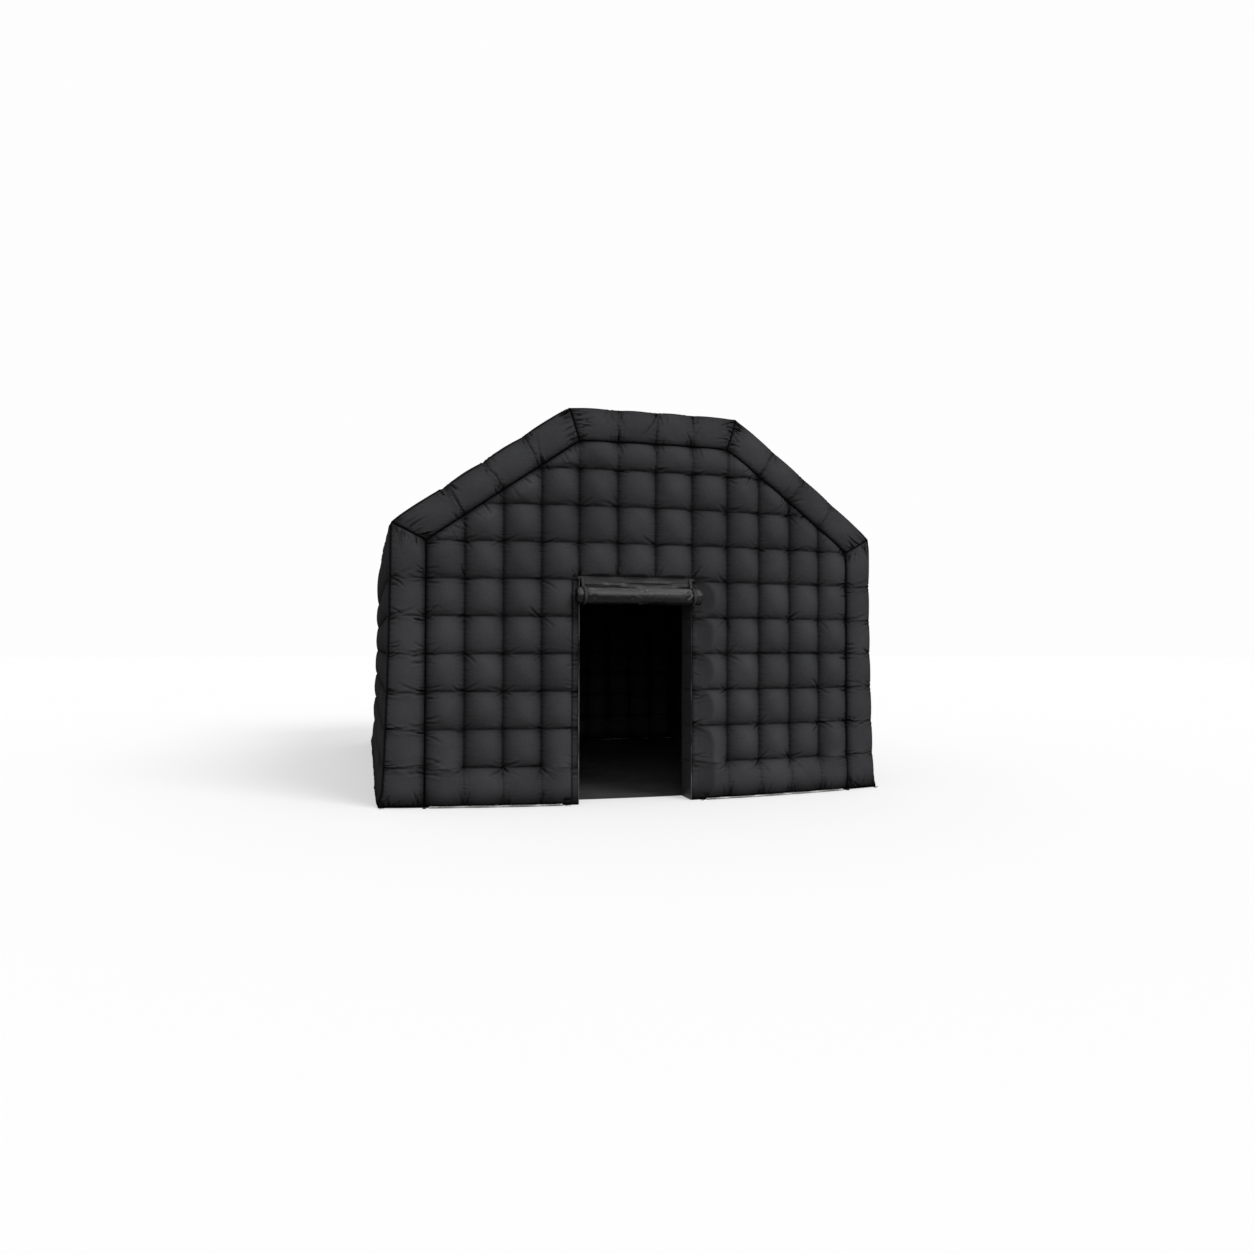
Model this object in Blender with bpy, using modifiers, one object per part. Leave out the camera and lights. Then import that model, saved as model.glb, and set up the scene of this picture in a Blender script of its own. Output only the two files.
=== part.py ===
# Inflatable house tent with a rolled door curtain, and the blower that keeps it up.
# Metres, +Z up, the door faces -Y, the origin is on the ground at the middle of the footprint.

import math

import bmesh
import bpy
from mathutils import Matrix, Vector

PARTS = "inflatable_tent"
CUTTERS = "cutters"

# Fits
GAP = 0.0003  # between pieces that touch
OVERRUN = 0.02  # how far a cutter runs past what it opens
MERGE = 0.00001
SNAP = 0.004  # grid points this near a roof slope are moved onto it
EDGE_ANGLE = math.radians(35)
FLAT_ANGLE = math.radians(0.05)  # faces this nearly level are joined

# Quilted grid of the end walls, from the left frame seam to the right one and from the ground up
SIDE_PITCH = 0.350
MIDDLE_PITCH = 0.372
FIRST_ROW = 0.369
ROW_PITCH = 0.348
TOP_ROW = 0.265
SIDE_COLUMNS = 4
MIDDLE_COLUMNS = 4
EAVE_ROWS = 7
SLOPE_ROWS = 3

# Cushion that each cell makes
PUFF = 0.050
SEAM_SHARE = 0.3  # how much of the crown runs along the seams between two tufts
CELL_STEPS = 2
FRONT_STEPS = 3

# Frame chambers
FRAME_THICKNESS = 0.356
FRAME_DEPTH = 6.0
DEPTH_CELLS = 16
BAND_STEPS = 2
BASE_FLARE = 0.065

# End walls
FRONT_BOW = 0.30
FRONT_THICKNESS = 0.28
BACK_THICKNESS = 0.28
SHEET_THICKNESS = 0.004

# Doorway, counted in cells
DOOR_COLUMN = 4
DOOR_COLUMNS = 3
DOOR_ROWS = 6
FACING = 0.004
PIPING_RADIUS = 0.005

# Door curtain
CURTAIN_STANDOFF = 0.0165
CURTAIN_OVERLAP = 0.020
CURTAIN_CLOTH = 0.003
HEADER_HEIGHT = 0.030
HEADER_CLOTH = 0.004
LEADER_TOP = 0.016
ROLL_RADIUS = 0.0825
ROLL_OVERLAP = 0.055
ROLL_DROP = 0.154  # from the door's top edge to the roll's axis
ROLL_PITCH = 0.0115
ROLL_TURNS = 6
ROLL_FACETS = 12
ROLL_STEPS = 3
ROLL_WAIST_SHARE = 0.05
TIE_WIDTH = 0.025
TIE_CLOTH = 0.002
TIE_INSET = 0.045
TIE_FACETS = 16

# Hem webbing and anchors
HEM_WIDTH = 0.022
HEM_THICKNESS = 0.003
TAB_WIDTH = 0.030
TAB_CLOTH = 0.002
TAB_REACH = 0.055
TAB_INSET = 0.040
DOOR_TAB_OFFSET = 0.110
RING_WIRE = 0.0035
RING_WIDTH = 0.050
RING_CORNER = 0.008
RING_PLAY = 0.0005
LOOP_FACETS = 6

# Air port and deflation zip in the back wall, by cell
PORT_COLUMN = 9
PORT_ROW = 0
PORT_HEIGHT = 0.135
ZIP_COLUMN = 2
ZIP_ROW = 1
ZIP_LENGTH = 0.280
ZIP_TAPE_WIDTH = 0.036
ZIP_TAPE = 0.002
ZIP_TEETH_WIDTH = 0.007
ZIP_TEETH = 0.0025
SLIDER_LENGTH = 0.016
SLIDER_WIDTH = 0.013
SLIDER_WALL = 0.0015
PULL_LENGTH = 0.030

# Inflation sleeve
SLEEVE_LENGTH = 0.420
SLEEVE_RADIUS = 0.105
SLEEVE_SWELL = 0.010
SLEEVE_CLOTH = 0.003
SLEEVE_FACETS = 24
SLEEVE_SWELLS = 3
SPIGOT_LENGTH = 0.080
STRAP_WIDTH = 0.025
STRAP_CLOTH = 0.002
BUCKLE_LENGTH = 0.034
BUCKLE_WIDTH = 0.040
BUCKLE_THICKNESS = 0.005
BUCKLE_BAR = 0.006

# Blower housing: a scroll whose duct runs to the tent along the ground side
SCROLL_TONGUE = 0.150
SCROLL_WIDEST = 0.215
SCROLL_WIDTH = 0.240
SCROLL_WALL = 0.004
SCROLL_FACETS = 22
DUCT_HEIGHT = 0.150
DUCT_LENGTH = 0.240
INTAKE_RADIUS = 0.096
FLANGE_THICKNESS = 0.006
SPIGOT_RADIUS = 0.072
SPIGOT_WALL = 0.004
BLOWER_FACETS = 24

# Impeller and motor
IMPELLER_RADIUS = 0.120
IMPELLER_WIDTH = 0.170
IMPELLER_DISC = 0.003
BLADE_COUNT = 18
BLADE_CHORD = 0.026
BLADE_THICKNESS = 0.002
BLADE_LEAN = math.radians(35)
BLADE_CURVE = 0.004
END_RING = 0.003
HUB_RADIUS = 0.016
HUB_LENGTH = 0.024
SHAFT_RADIUS = 0.006
MOTOR_RADIUS = 0.052
MOTOR_CHAMFER = 0.006
MOTOR_CLEARANCE = 0.018  # from the motor's face to the hub
SHAFT_BURIED = 0.030

# Motor bracket and grilles
BRACKET_THICKNESS = 0.003
BRACKET_ARMS = 3
BRACKET_ARM = 0.018
BRACKET_DISC = 0.034
RIM_WIDTH = 0.014
GRILLE_THICKNESS = 0.003
GRILLE_SLOTS = 18
GRILLE_BAR = 0.006
GRILLE_HUB = 0.030

# Handle, skids and switch
HANDLE_SPAN = 0.130
HANDLE_RISE = 0.055
HANDLE_RADIUS = 0.009
HANDLE_BEND = 0.028
SKID_THICKNESS = 0.022
SKID_INSET = 0.020
SKID_REACH = 0.150
SKID_TOE = 0.020
SKID_FACETS = 4  # facets of the scroll that a skid cradles
BOX_CLEARANCE = 0.006  # from the box to the scroll behind it
BOX_WIDTH = 0.070
BOX_HEIGHT = 0.040
BOX_SETBACK = 0.012
BOX_BEVEL = 0.003
ROCKER_LENGTH = 0.028
ROCKER_WIDTH = 0.020
ROCKER_HEIGHT = 0.009
ROCKER_PROUD = 0.004
ROCKER_PLAY = 0.001
ROCKER_TILT = math.radians(8)
ROCKER_DISH_SHARE = 0.6
ROCKER_HEEL_SHARE = 0.5
GLAND_RADIUS = 0.009
GLAND_LENGTH = 0.016
GLAND_SHOULDER = 0.005
GLAND_LIP_RADIUS = 0.007
GLAND_BORE = 0.0045
GLAND_FACETS = 12

# Surface of each material: colour, roughness, metallic
FINISHES = {
    "wall cloth": ((0.030, 0.031, 0.034), 0.70, 0.0),
    "sheet cloth": ((0.022, 0.022, 0.024), 0.55, 0.0),
    "curtain cloth": ((0.035, 0.036, 0.039), 0.45, 0.0),
    "facing cloth": ((0.024, 0.024, 0.027), 0.65, 0.0),
    "piping": ((0.120, 0.121, 0.125), 0.50, 0.0),
    "webbing": ((0.018, 0.018, 0.020), 0.80, 0.0),
    "pale webbing": ((0.420, 0.425, 0.430), 0.80, 0.0),
    "steel": ((0.560, 0.560, 0.570), 0.35, 1.0),
    "moulding": ((0.028, 0.028, 0.030), 0.50, 0.0),
    "impeller": ((0.050, 0.050, 0.055), 0.45, 0.0),
    "motor": ((0.180, 0.185, 0.190), 0.40, 0.8),
    "rubber": ((0.016, 0.016, 0.017), 0.85, 0.0),
    "rocker": ((0.350, 0.030, 0.025), 0.35, 0.0),
}

# Turns an outline drawn in (y, z) so that it is extruded along X
SIDE_ON = Matrix(((0, 0, 1), (1, 0, 0), (0, 1, 0))).to_4x4()
# Turns a Z axis to point along X
ALONG_X = Matrix.Rotation(math.radians(90), 4, "Y")


def running(start, pitches):
    """Positions reached from start by one pitch after another."""
    lines = [start]
    for pitch in pitches:
        lines.append(lines[-1] + pitch)
    return lines


INNER_HALF = SIDE_COLUMNS * SIDE_PITCH + MIDDLE_COLUMNS * MIDDLE_PITCH / 2
OUTER_HALF = INNER_HALF + FRAME_THICKNESS
COLUMN_LINES = running(
    -INNER_HALF,
    [SIDE_PITCH] * SIDE_COLUMNS + [MIDDLE_PITCH] * MIDDLE_COLUMNS + [SIDE_PITCH] * SIDE_COLUMNS,
)
ROW_LINES = running(0.0, [FIRST_ROW] + [ROW_PITCH] * (EAVE_ROWS + SLOPE_ROWS - 2) + [TOP_ROW])
EAVE = ROW_LINES[EAVE_ROWS]
TOP = ROW_LINES[-1]
TOP_HALF = MIDDLE_COLUMNS * MIDDLE_PITCH / 2
BACK = FRAME_DEPTH / 2
DOOR_LEFT = COLUMN_LINES[DOOR_COLUMN]
DOOR_RIGHT = COLUMN_LINES[DOOR_COLUMN + DOOR_COLUMNS]
DOOR_TOP = ROW_LINES[DOOR_ROWS]
CORNERS = [
    Vector((-INNER_HALF, 0.0)),
    Vector((-INNER_HALF, EAVE)),
    Vector((-TOP_HALF, TOP)),
    Vector((TOP_HALF, TOP)),
    Vector((INNER_HALF, EAVE)),
    Vector((INNER_HALF, 0.0)),
]


def middle(lines, cell):
    return (lines[cell] + lines[cell + 1]) / 2


PORT = (middle(COLUMN_LINES, PORT_COLUMN), PORT_HEIGHT)
ZIP = (middle(COLUMN_LINES, ZIP_COLUMN), middle(ROW_LINES, ZIP_ROW))


# Scene and materials


def clear_scene():
    for obj in list(bpy.data.objects):
        bpy.data.objects.remove(obj, do_unlink=True)


def group(name):
    found = bpy.data.collections.get(name)
    if found is None:
        found = bpy.data.collections.new(name)
        bpy.context.scene.collection.children.link(found)
    return found


def painted(name, finish):
    colour, roughness, metallic = FINISHES[finish]
    material = bpy.data.materials.new(name)
    material.use_nodes = True
    shader = material.node_tree.nodes["Principled BSDF"]
    shader.inputs["Base Color"].default_value = (*colour, 1.0)
    shader.inputs["Roughness"].default_value = roughness
    shader.inputs["Metallic"].default_value = metallic
    return material


def add_piece(name, data, finish, origin=(0, 0, 0)):
    """Makes the named object from mesh or curve data, with its own material."""
    obj = bpy.data.objects.new(name, data)
    obj.location = origin
    data.materials.clear()
    data.materials.append(painted(name, finish))
    group(PARTS).objects.link(obj)
    if obj.type == "MESH":
        data.shade_smooth()
        data.set_sharp_from_angle(angle=EDGE_ANGLE)
    return obj


def mesh_from(bm, name):
    bmesh.ops.recalc_face_normals(bm, faces=bm.faces)
    mesh = bpy.data.meshes.new(name)
    bm.to_mesh(mesh)
    bm.free()
    return mesh


def helper(name, data, matrix=None):
    """A cutter, or a body that is joined to another: drawn as wire and left out of the model."""
    obj = bpy.data.objects.new(name, data)
    obj.hide_render = True
    obj.display_type = "WIRE"
    if matrix is not None:
        obj.matrix_world = matrix
    group(CUTTERS).objects.link(obj)
    return obj


def combine(target, other, operation):
    modifier = target.modifiers.new(operation.lower(), "BOOLEAN")
    modifier.operation = operation
    modifier.object = other


# Basic shapes


def plate_mesh(name, outlines, thickness, matrix=None):
    """Flat plate: the first outline is its edge and the others are its holes."""
    curve = bpy.data.curves.new(name, "CURVE")
    curve.dimensions = "2D"
    curve.fill_mode = "BOTH"
    curve.extrude = thickness / 2
    for outline in outlines:
        spline = curve.splines.new("POLY")
        spline.points.add(len(outline) - 1)
        for point, (across, up) in zip(spline.points, outline):
            point.co = (across, up, 0.0, 1.0)
        spline.use_cyclic_u = True
    drawn = bpy.data.objects.new(name, curve)
    group(CUTTERS).objects.link(drawn)
    graph = bpy.context.evaluated_depsgraph_get()
    flat = bpy.data.meshes.new_from_object(drawn.evaluated_get(graph))
    bpy.data.objects.remove(drawn)
    bm = bmesh.new()
    bm.from_mesh(flat)
    bpy.data.meshes.remove(flat)
    bmesh.ops.remove_doubles(bm, verts=bm.verts, dist=MERGE)
    if matrix is not None:
        bmesh.ops.transform(bm, matrix=matrix, verts=bm.verts)
    return mesh_from(bm, name)


def tube_curve(name, points, radius, closed=False):
    """Round wire or rail through the points."""
    curve = bpy.data.curves.new(name, "CURVE")
    curve.dimensions = "3D"
    curve.bevel_depth = radius
    curve.bevel_resolution = 1
    curve.use_fill_caps = not closed
    spline = curve.splines.new("POLY")
    spline.points.add(len(points) - 1)
    for point, place in zip(spline.points, points):
        point.co = (*place, 1.0)
    spline.use_cyclic_u = closed
    return curve


def turned(obj_maker, name, profile, facets, closed, *rest):
    """Turned piece about local Z, from a profile of (radius, height) that runs down its outer side."""
    bm = bmesh.new()
    verts = [bm.verts.new((radius, 0.0, height)) for radius, height in profile]
    for first, second in zip(verts, verts[1:] + (verts[:1] if closed else [])):
        bm.edges.new((first, second))
    mesh = bpy.data.meshes.new(name)
    bm.to_mesh(mesh)
    bm.free()
    obj = obj_maker(name, mesh, *rest)
    screw = obj.modifiers.new("turn", "SCREW")
    screw.steps = facets
    screw.render_steps = facets
    screw.use_merge_vertices = True
    screw.merge_threshold = MERGE
    return obj


def cylinder_mesh(name, radius, length, facets):
    bm = bmesh.new()
    bmesh.ops.create_cone(
        bm, cap_ends=True, segments=facets, radius1=radius, radius2=radius, depth=length
    )
    return mesh_from(bm, name)


def box_mesh(name, sides):
    bm = bmesh.new()
    bmesh.ops.create_cube(bm, size=1)
    bmesh.ops.scale(bm, vec=sides, verts=bm.verts)
    return mesh_from(bm, name)


def circle(radius, facets, centre=(0.0, 0.0)):
    return [
        (
            centre[0] + radius * math.cos(2 * math.pi * step / facets),
            centre[1] + radius * math.sin(2 * math.pi * step / facets),
        )
        for step in range(facets)
    ]


def arc(centre, radius, start, end, steps):
    """Points on a circle from one angle to another, both included."""
    return [
        (
            centre[0] + radius * math.cos(start + (end - start) * step / steps),
            centre[1] + radius * math.sin(start + (end - start) * step / steps),
        )
        for step in range(steps + 1)
    ]


# Quilted air walls


def arch(cells):
    """Rise of a cushion at a place counted in cells: 0 on a seam and 1 in the middle."""
    share = cells - math.floor(cells)
    return math.sqrt(max(0.0, 4 * share * (1 - share)))


def crown(first, second):
    """Height of the cloth where the place is counted in cells both ways."""
    rise_a, rise_b = arch(first), arch(second)
    return PUFF * (SEAM_SHARE * (rise_a + rise_b) / 2 + (1 - SEAM_SHARE) * rise_a * rise_b)


def between(lines, cells):
    """Position along seam lines of a place that is counted in cells."""
    low = min(int(cells), len(lines) - 2)
    return lines[low] + (lines[low + 1] - lines[low]) * (cells - low)


def in_cells(lines, position):
    """How many cells in a position along seam lines is."""
    for cell, (low, high) in enumerate(zip(lines, lines[1:])):
        if position <= high or cell == len(lines) - 2:
            return cell + min(1.0, max(0.0, (position - low) / (high - low)))


def split_cushions(bm):
    """Splits the grid's squares from tuft to crown, so that every cushion is alike on all sides."""
    squares = [face for face in bm.faces if len(face.verts) == 4]
    bmesh.ops.triangulate(bm, faces=squares, quad_method="LONG_EDGE")


def front_face(x):
    """The front of the tent bows out, most in the middle."""
    return -BACK - FRONT_BOW * (1 - (x / OUTER_HALF) ** 2)


def front_lining(x):
    return front_face(x) + FRONT_THICKNESS


def back_face(x):
    return BACK


def back_lining(x):
    return BACK - BACK_THICKNESS


def outward(start, end):
    """Unit normal of a stretch of the frame, pointing out of the tent."""
    run = (end - start).normalized()
    return Vector((-run.y, run.x))


def outer_corners():
    normals = [outward(a, b) for a, b in zip(CORNERS, CORNERS[1:])]
    ends = [CORNERS[0] + normals[0] * FRAME_THICKNESS]
    for corner, before, after in zip(CORNERS[1:-1], normals, normals[1:]):
        ends.append(corner + (before + after) * FRAME_THICKNESS / (1 + before.dot(after)))
    ends.append(CORNERS[-1] + normals[-1] * FRAME_THICKNESS)
    return ends


def slope_lines(side):
    """Points on a roof slope's inner face at each column seam, from the eave up."""
    columns = COLUMN_LINES[: SIDE_COLUMNS + 1]
    rise = (TOP - EAVE) / (INNER_HALF - TOP_HALF)
    return [Vector((side * -x, EAVE + (x + INNER_HALF) * rise)) for x in columns]


def chamber_stations():
    """The seams of each frame chamber, as inner and outer points from its start to its end."""
    eaves = ROW_LINES[: EAVE_ROWS + 1]
    stretches = [
        [Vector((-INNER_HALF, z)) for z in eaves],
        slope_lines(-1),
        [Vector((x, TOP)) for x in COLUMN_LINES[SIDE_COLUMNS : SIDE_COLUMNS + MIDDLE_COLUMNS + 1]],
        slope_lines(1)[::-1],
        [Vector((INNER_HALF, z)) for z in eaves[::-1]],
    ]
    corners = outer_corners()
    stations = []
    for inner, start, end in zip(stretches, corners, corners[1:]):
        normal = outward(inner[0], inner[-1])
        outer = [point + normal * FRAME_THICKNESS for point in inner]
        outer[0], outer[-1] = start, end
        stations.append((inner, outer))
    return stations


def chamber_loop():
    """Points round a chamber's section: share across it, share along it, and its face there."""
    long_steps = DEPTH_CELLS * CELL_STEPS
    loop = [(step / BAND_STEPS, 0.0, "front") for step in range(BAND_STEPS)]
    loop += [(1.0, step / long_steps, "outer") for step in range(long_steps)]
    loop += [(1 - step / BAND_STEPS, 1.0, "rear") for step in range(BAND_STEPS + 1)]
    return loop


def add_chamber(name, inner, outer, start_gap, end_gap):
    """A long air chamber: a grid rolled round its section, with quilted cells on three faces."""
    run = (inner[-1] - inner[0]).normalized()
    normal = outward(inner[0], inner[-1])
    loop = chamber_loop()
    cells = len(inner) - 1
    steps = cells * CELL_STEPS
    base_to_eave = outer_corners()[1].y
    bm = bmesh.new()
    bmesh.ops.create_grid(bm, x_segments=steps, y_segments=len(loop), size=1)
    for vert in bm.verts:
        step = round((vert.co.x + 1) / 2 * steps)
        across, along, face = loop[round((vert.co.y + 1) / 2 * len(loop)) % len(loop)]
        place = step / CELL_STEPS
        point = between(inner, place).lerp(between(outer, place), across)
        if step == 0:
            point = point + run * start_gap
        elif step == steps:
            point = point - run * end_gap
        if abs(normal.x) == 1:
            point.x += normal.x * across * BASE_FLARE * (1 - point.y / base_to_eave) ** 2
        y = front_face(point.x) * (1 - along) + BACK * along
        if 0 < step < steps and 0 < across < 1:
            puff = crown(place, across)
            y += -puff if face == "front" else puff
        elif 0 < step < steps and face == "outer" and along > 0:
            point += normal * crown(place, along * DEPTH_CELLS)
        vert.co = (point.x, y, point.y)
    bmesh.ops.remove_doubles(bm, verts=bm.verts, dist=MERGE)
    split_cushions(bm)
    bmesh.ops.holes_fill(bm, edges=[e for e in bm.edges if e.is_boundary], sides=0)
    return add_piece(name, mesh_from(bm, name), "wall cloth")


def add_frame():
    names = ["side_wall_left", "roof_slope_left", "roof_top", "roof_slope_right", "side_wall_right"]
    last = len(names) - 1
    for order, (name, (inner, outer)) in enumerate(zip(names, chamber_stations())):
        add_chamber(name, inner, outer, GAP if order else 0.0, GAP if order < last else 0.0)


def is_flat(x, z, flats):
    """Whether a place lies in a cell that is left flat for a fitting, or on its seams."""
    across, up = round(in_cells(COLUMN_LINES, x), 3), round(in_cells(ROW_LINES, z), 3)
    return any(column <= across <= column + 1 and row <= up <= row + 1 for column, row in flats)


def add_panel(name, columns, rows, steps, faces, slopes, quilted_lining, flats=()):
    """A quilted end wall between column and row seams, cut off along the roof slopes."""
    outside, lining = faces
    out = -1 if outside is front_face else 1
    bm = bmesh.new()
    across, up = (len(columns) - 1) * steps, (len(rows) - 1) * steps
    bmesh.ops.create_grid(bm, x_segments=across, y_segments=up, size=1)
    for vert in bm.verts:
        x = between(columns, (vert.co.x + 1) / 2 * (len(columns) - 1))
        z = between(rows, (vert.co.y + 1) / 2 * (len(rows) - 1))
        vert.co = (x, 0.0, z)
    for low, high in slopes:
        normal = outward(low, high)
        edge = low - normal * GAP
        bmesh.ops.bisect_plane(
            bm,
            geom=bm.verts[:] + bm.edges[:] + bm.faces[:],
            dist=SNAP,
            plane_co=(edge.x, 0.0, edge.y),
            plane_no=(normal.x, 0.0, normal.y),
            clear_outer=True,
        )
    bmesh.ops.delete(bm, geom=[v for v in bm.verts if not v.link_faces], context="VERTS")
    rim = {vert for vert in bm.verts if vert.is_boundary}
    heights = {}
    for vert in bm.verts:
        x, z = vert.co.x, vert.co.z
        flat = vert in rim or is_flat(x, z, flats)
        heights[(round(x, 6), round(z, 6))] = (
            0.0 if flat else crown(in_cells(COLUMN_LINES, x), in_cells(ROW_LINES, z))
        )
    outer_verts = set(bm.verts)
    bmesh.ops.extrude_face_region(bm, geom=bm.faces[:])
    for vert in bm.verts:
        x, z = vert.co.x, vert.co.z
        height = heights[(round(x, 6), round(z, 6))]
        if vert in outer_verts:
            vert.co.y = outside(x) + out * height
        else:
            vert.co.y = lining(x) - (out * height if quilted_lining else 0.0)
    if not quilted_lining:
        plain = [
            edge
            for edge in bm.edges
            if not any(v in outer_verts for face in edge.link_faces for v in face.verts)
        ]
        bmesh.ops.dissolve_limit(bm, angle_limit=FLAT_ANGLE, verts=[], edges=plain)
    split_cushions(bm)
    return add_piece(name, mesh_from(bm, name), "wall cloth")


def inset(lines, start, end):
    return [lines[0] + start, *lines[1:-1], lines[-1] - end]


def add_end_walls():
    left_slope = (CORNERS[1], CORNERS[2])
    right_slope = (CORNERS[3], CORNERS[4])
    front = (front_face, front_lining)
    rows = inset(ROW_LINES, 0.0, GAP)
    right_column = DOOR_COLUMN + DOOR_COLUMNS
    left_columns = inset(COLUMN_LINES[: DOOR_COLUMN + 1], GAP, 0.0)
    door_columns = inset(COLUMN_LINES[DOOR_COLUMN : right_column + 1], GAP, GAP)
    right_columns = inset(COLUMN_LINES[right_column:], 0.0, GAP)
    add_panel("front_left_panel", left_columns, rows, FRONT_STEPS, front, [left_slope], False)
    add_panel("front_header_panel", door_columns, rows[DOOR_ROWS:], FRONT_STEPS, front, [], False)
    add_panel("front_right_panel", right_columns, rows, FRONT_STEPS, front, [right_slope], False)
    add_panel(
        "back_wall",
        inset(COLUMN_LINES, GAP, GAP),
        rows,
        CELL_STEPS,
        (back_face, back_lining),
        [left_slope, right_slope],
        True,
        [(PORT_COLUMN, PORT_ROW), (ZIP_COLUMN, ZIP_ROW)],
    )


# Pieces that follow the front's curve


def add_strip(name, x_lines, near, far, low, high, finish):
    """A block between two heights, whose front and back faces are given at each x."""
    bm = bmesh.new()
    bmesh.ops.create_grid(bm, x_segments=len(x_lines) - 1, y_segments=1, size=1)
    for vert in bm.verts:
        x = between(x_lines, (vert.co.x + 1) / 2 * (len(x_lines) - 1))
        vert.co = (x, near(x) if vert.co.y < 0 else far(x), low)
    lower = set(bm.verts)
    bmesh.ops.extrude_face_region(bm, geom=bm.faces[:])
    for vert in bm.verts:
        if vert not in lower:
            vert.co.z = high
    return add_piece(name, mesh_from(bm, name), finish)


def wall_lines(start, end):
    """The front's own grid lines between two places, with the places themselves."""
    count = (len(COLUMN_LINES) - 1) * FRONT_STEPS
    lines = [between(COLUMN_LINES, step / FRONT_STEPS) for step in range(count + 1)]
    return [start, *(x for x in lines if start + SNAP < x < end - SNAP), end]


def add_floor():
    add_strip(
        "floor_sheet",
        inset(COLUMN_LINES, GAP, GAP),
        lambda x: front_lining(x) + GAP,
        lambda x: back_lining(x) - GAP - SHEET_THICKNESS * PUFF / (FIRST_ROW / CELL_STEPS),
        0.0,
        SHEET_THICKNESS,
        "sheet cloth",
    )


def add_door_facings():
    jambs = (
        ("door_jamb_left", "door_piping_left", DOOR_LEFT + GAP, DOOR_LEFT + GAP + FACING),
        ("door_jamb_right", "door_piping_right", DOOR_RIGHT - GAP - FACING, DOOR_RIGHT - GAP),
    )
    facing_top = DOOR_TOP - GAP
    for name, piping, low, high in jambs:
        add_strip(name, [low, high], front_face, front_lining, 0.0, facing_top, "facing cloth")
        x = (low + high) / 2
        y = min(front_face(low), front_face(high)) - GAP - PIPING_RADIUS
        ends = [(x, y, PIPING_RADIUS), (x, y, facing_top - FACING)]
        add_piece(piping, tube_curve(piping, ends, PIPING_RADIUS), "piping")
    add_strip(
        "door_lintel",
        wall_lines(jambs[0][3] + GAP, jambs[1][2] - GAP),
        front_face,
        front_lining,
        facing_top - FACING,
        facing_top,
        "facing cloth",
    )


# Door curtain


def curtain_plane():
    """The front of the header strip, straight across the door."""
    return front_face((DOOR_LEFT + DOOR_RIGHT) / 2) - CURTAIN_STANDOFF


def roll_centre():
    """Axis of the rolled curtain, as (y, z)."""
    return (
        curtain_plane() - CURTAIN_CLOTH - 2 * GAP - ROLL_RADIUS,
        DOOR_TOP - ROLL_DROP,
    )


def roll_gather(share):
    """The roll is drawn in a little where the ties hold it."""
    return 1 - ROLL_WAIST_SHARE * math.cos(2 * math.pi * share) ** 2


def add_curtain():
    middle_x = (DOOR_LEFT + DOOR_RIGHT) / 2
    half = (DOOR_RIGHT - DOOR_LEFT) / 2 + CURTAIN_OVERLAP
    plane = curtain_plane()
    y, z = roll_centre()
    sheet_lines = wall_lines(middle_x - half, middle_x + half)
    first_step = 1 / FRONT_STEPS
    header_rise = crown(first_step, first_step) * HEADER_HEIGHT / (ROW_PITCH * first_step)
    add_strip(
        "curtain_header",
        sheet_lines,
        lambda x: plane,
        lambda x: min(front_face(x) - header_rise - GAP, plane + HEADER_CLOTH),
        DOOR_TOP,
        DOOR_TOP + HEADER_HEIGHT,
        "curtain cloth",
    )
    add_strip(
        "curtain_leader",
        [middle_x - half, middle_x + half],
        lambda x: plane - GAP - CURTAIN_CLOTH,
        lambda x: plane - GAP,
        z,
        DOOR_TOP + LEADER_TOP,
        "curtain cloth",
    )
    add_roll(middle_x, half + ROLL_OVERLAP - CURTAIN_OVERLAP, y, z)
    for name, x in (
        ("curtain_tie_left", middle_x - half + TIE_INSET),
        ("curtain_tie_right", middle_x + half - TIE_INSET),
    ):
        add_tie(name, x, plane, y, z)


def add_roll(middle_x, half, y, z):
    """The rolled sheet: a spiral drawn out along X and thickened inwards."""
    bm = bmesh.new()
    facets = ROLL_TURNS * ROLL_FACETS
    spiral = []
    for step in range(facets + 1):
        turn = step / ROLL_FACETS
        radius = ROLL_RADIUS - ROLL_PITCH * turn
        angle = 2 * math.pi * turn
        spiral.append((radius * math.cos(angle), -radius * math.sin(angle)))
    bmesh.ops.create_grid(bm, x_segments=ROLL_STEPS, y_segments=facets, size=1)
    for vert in bm.verts:
        share = (vert.co.x + 1) / 2
        across, up = spiral[round((vert.co.y + 1) / 2 * facets)]
        gather = roll_gather(share)
        vert.co = (vert.co.x * half, across * gather, up * gather)
    mesh = mesh_from(bm, "curtain_roll")
    if mesh.polygons[0].normal.dot(mesh.polygons[0].center) < 0:
        mesh.flip_normals()
    roll = add_piece("curtain_roll", mesh, "curtain cloth", (middle_x, y, z))
    thick = roll.modifiers.new("cloth", "SOLIDIFY")
    thick.thickness = CURTAIN_CLOTH
    thick.offset = -1


def add_tie(name, x, plane, y, z):
    """A tie that starts under the header strip, goes round the roll and ends on the strip."""
    radius = plane - y + TIE_CLOTH / 2
    foot = (plane - GAP - TIE_CLOTH / 2, DOOR_TOP + (LEADER_TOP + HEADER_HEIGHT) / 2)
    to_foot = Vector((foot[0] - y, foot[1] - z))
    facing = math.atan2(to_foot.y, to_foot.x)
    leaves = facing + math.acos(radius / to_foot.length)
    points = [(y + radius, DOOR_TOP - GAP)]
    points += arc((y, z), radius, 0.0, leaves - 2 * math.pi, TIE_FACETS)
    points += [foot, (foot[0], DOOR_TOP + HEADER_HEIGHT)]
    add_band(name, points, TIE_WIDTH, TIE_CLOTH, "webbing", x)


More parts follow.
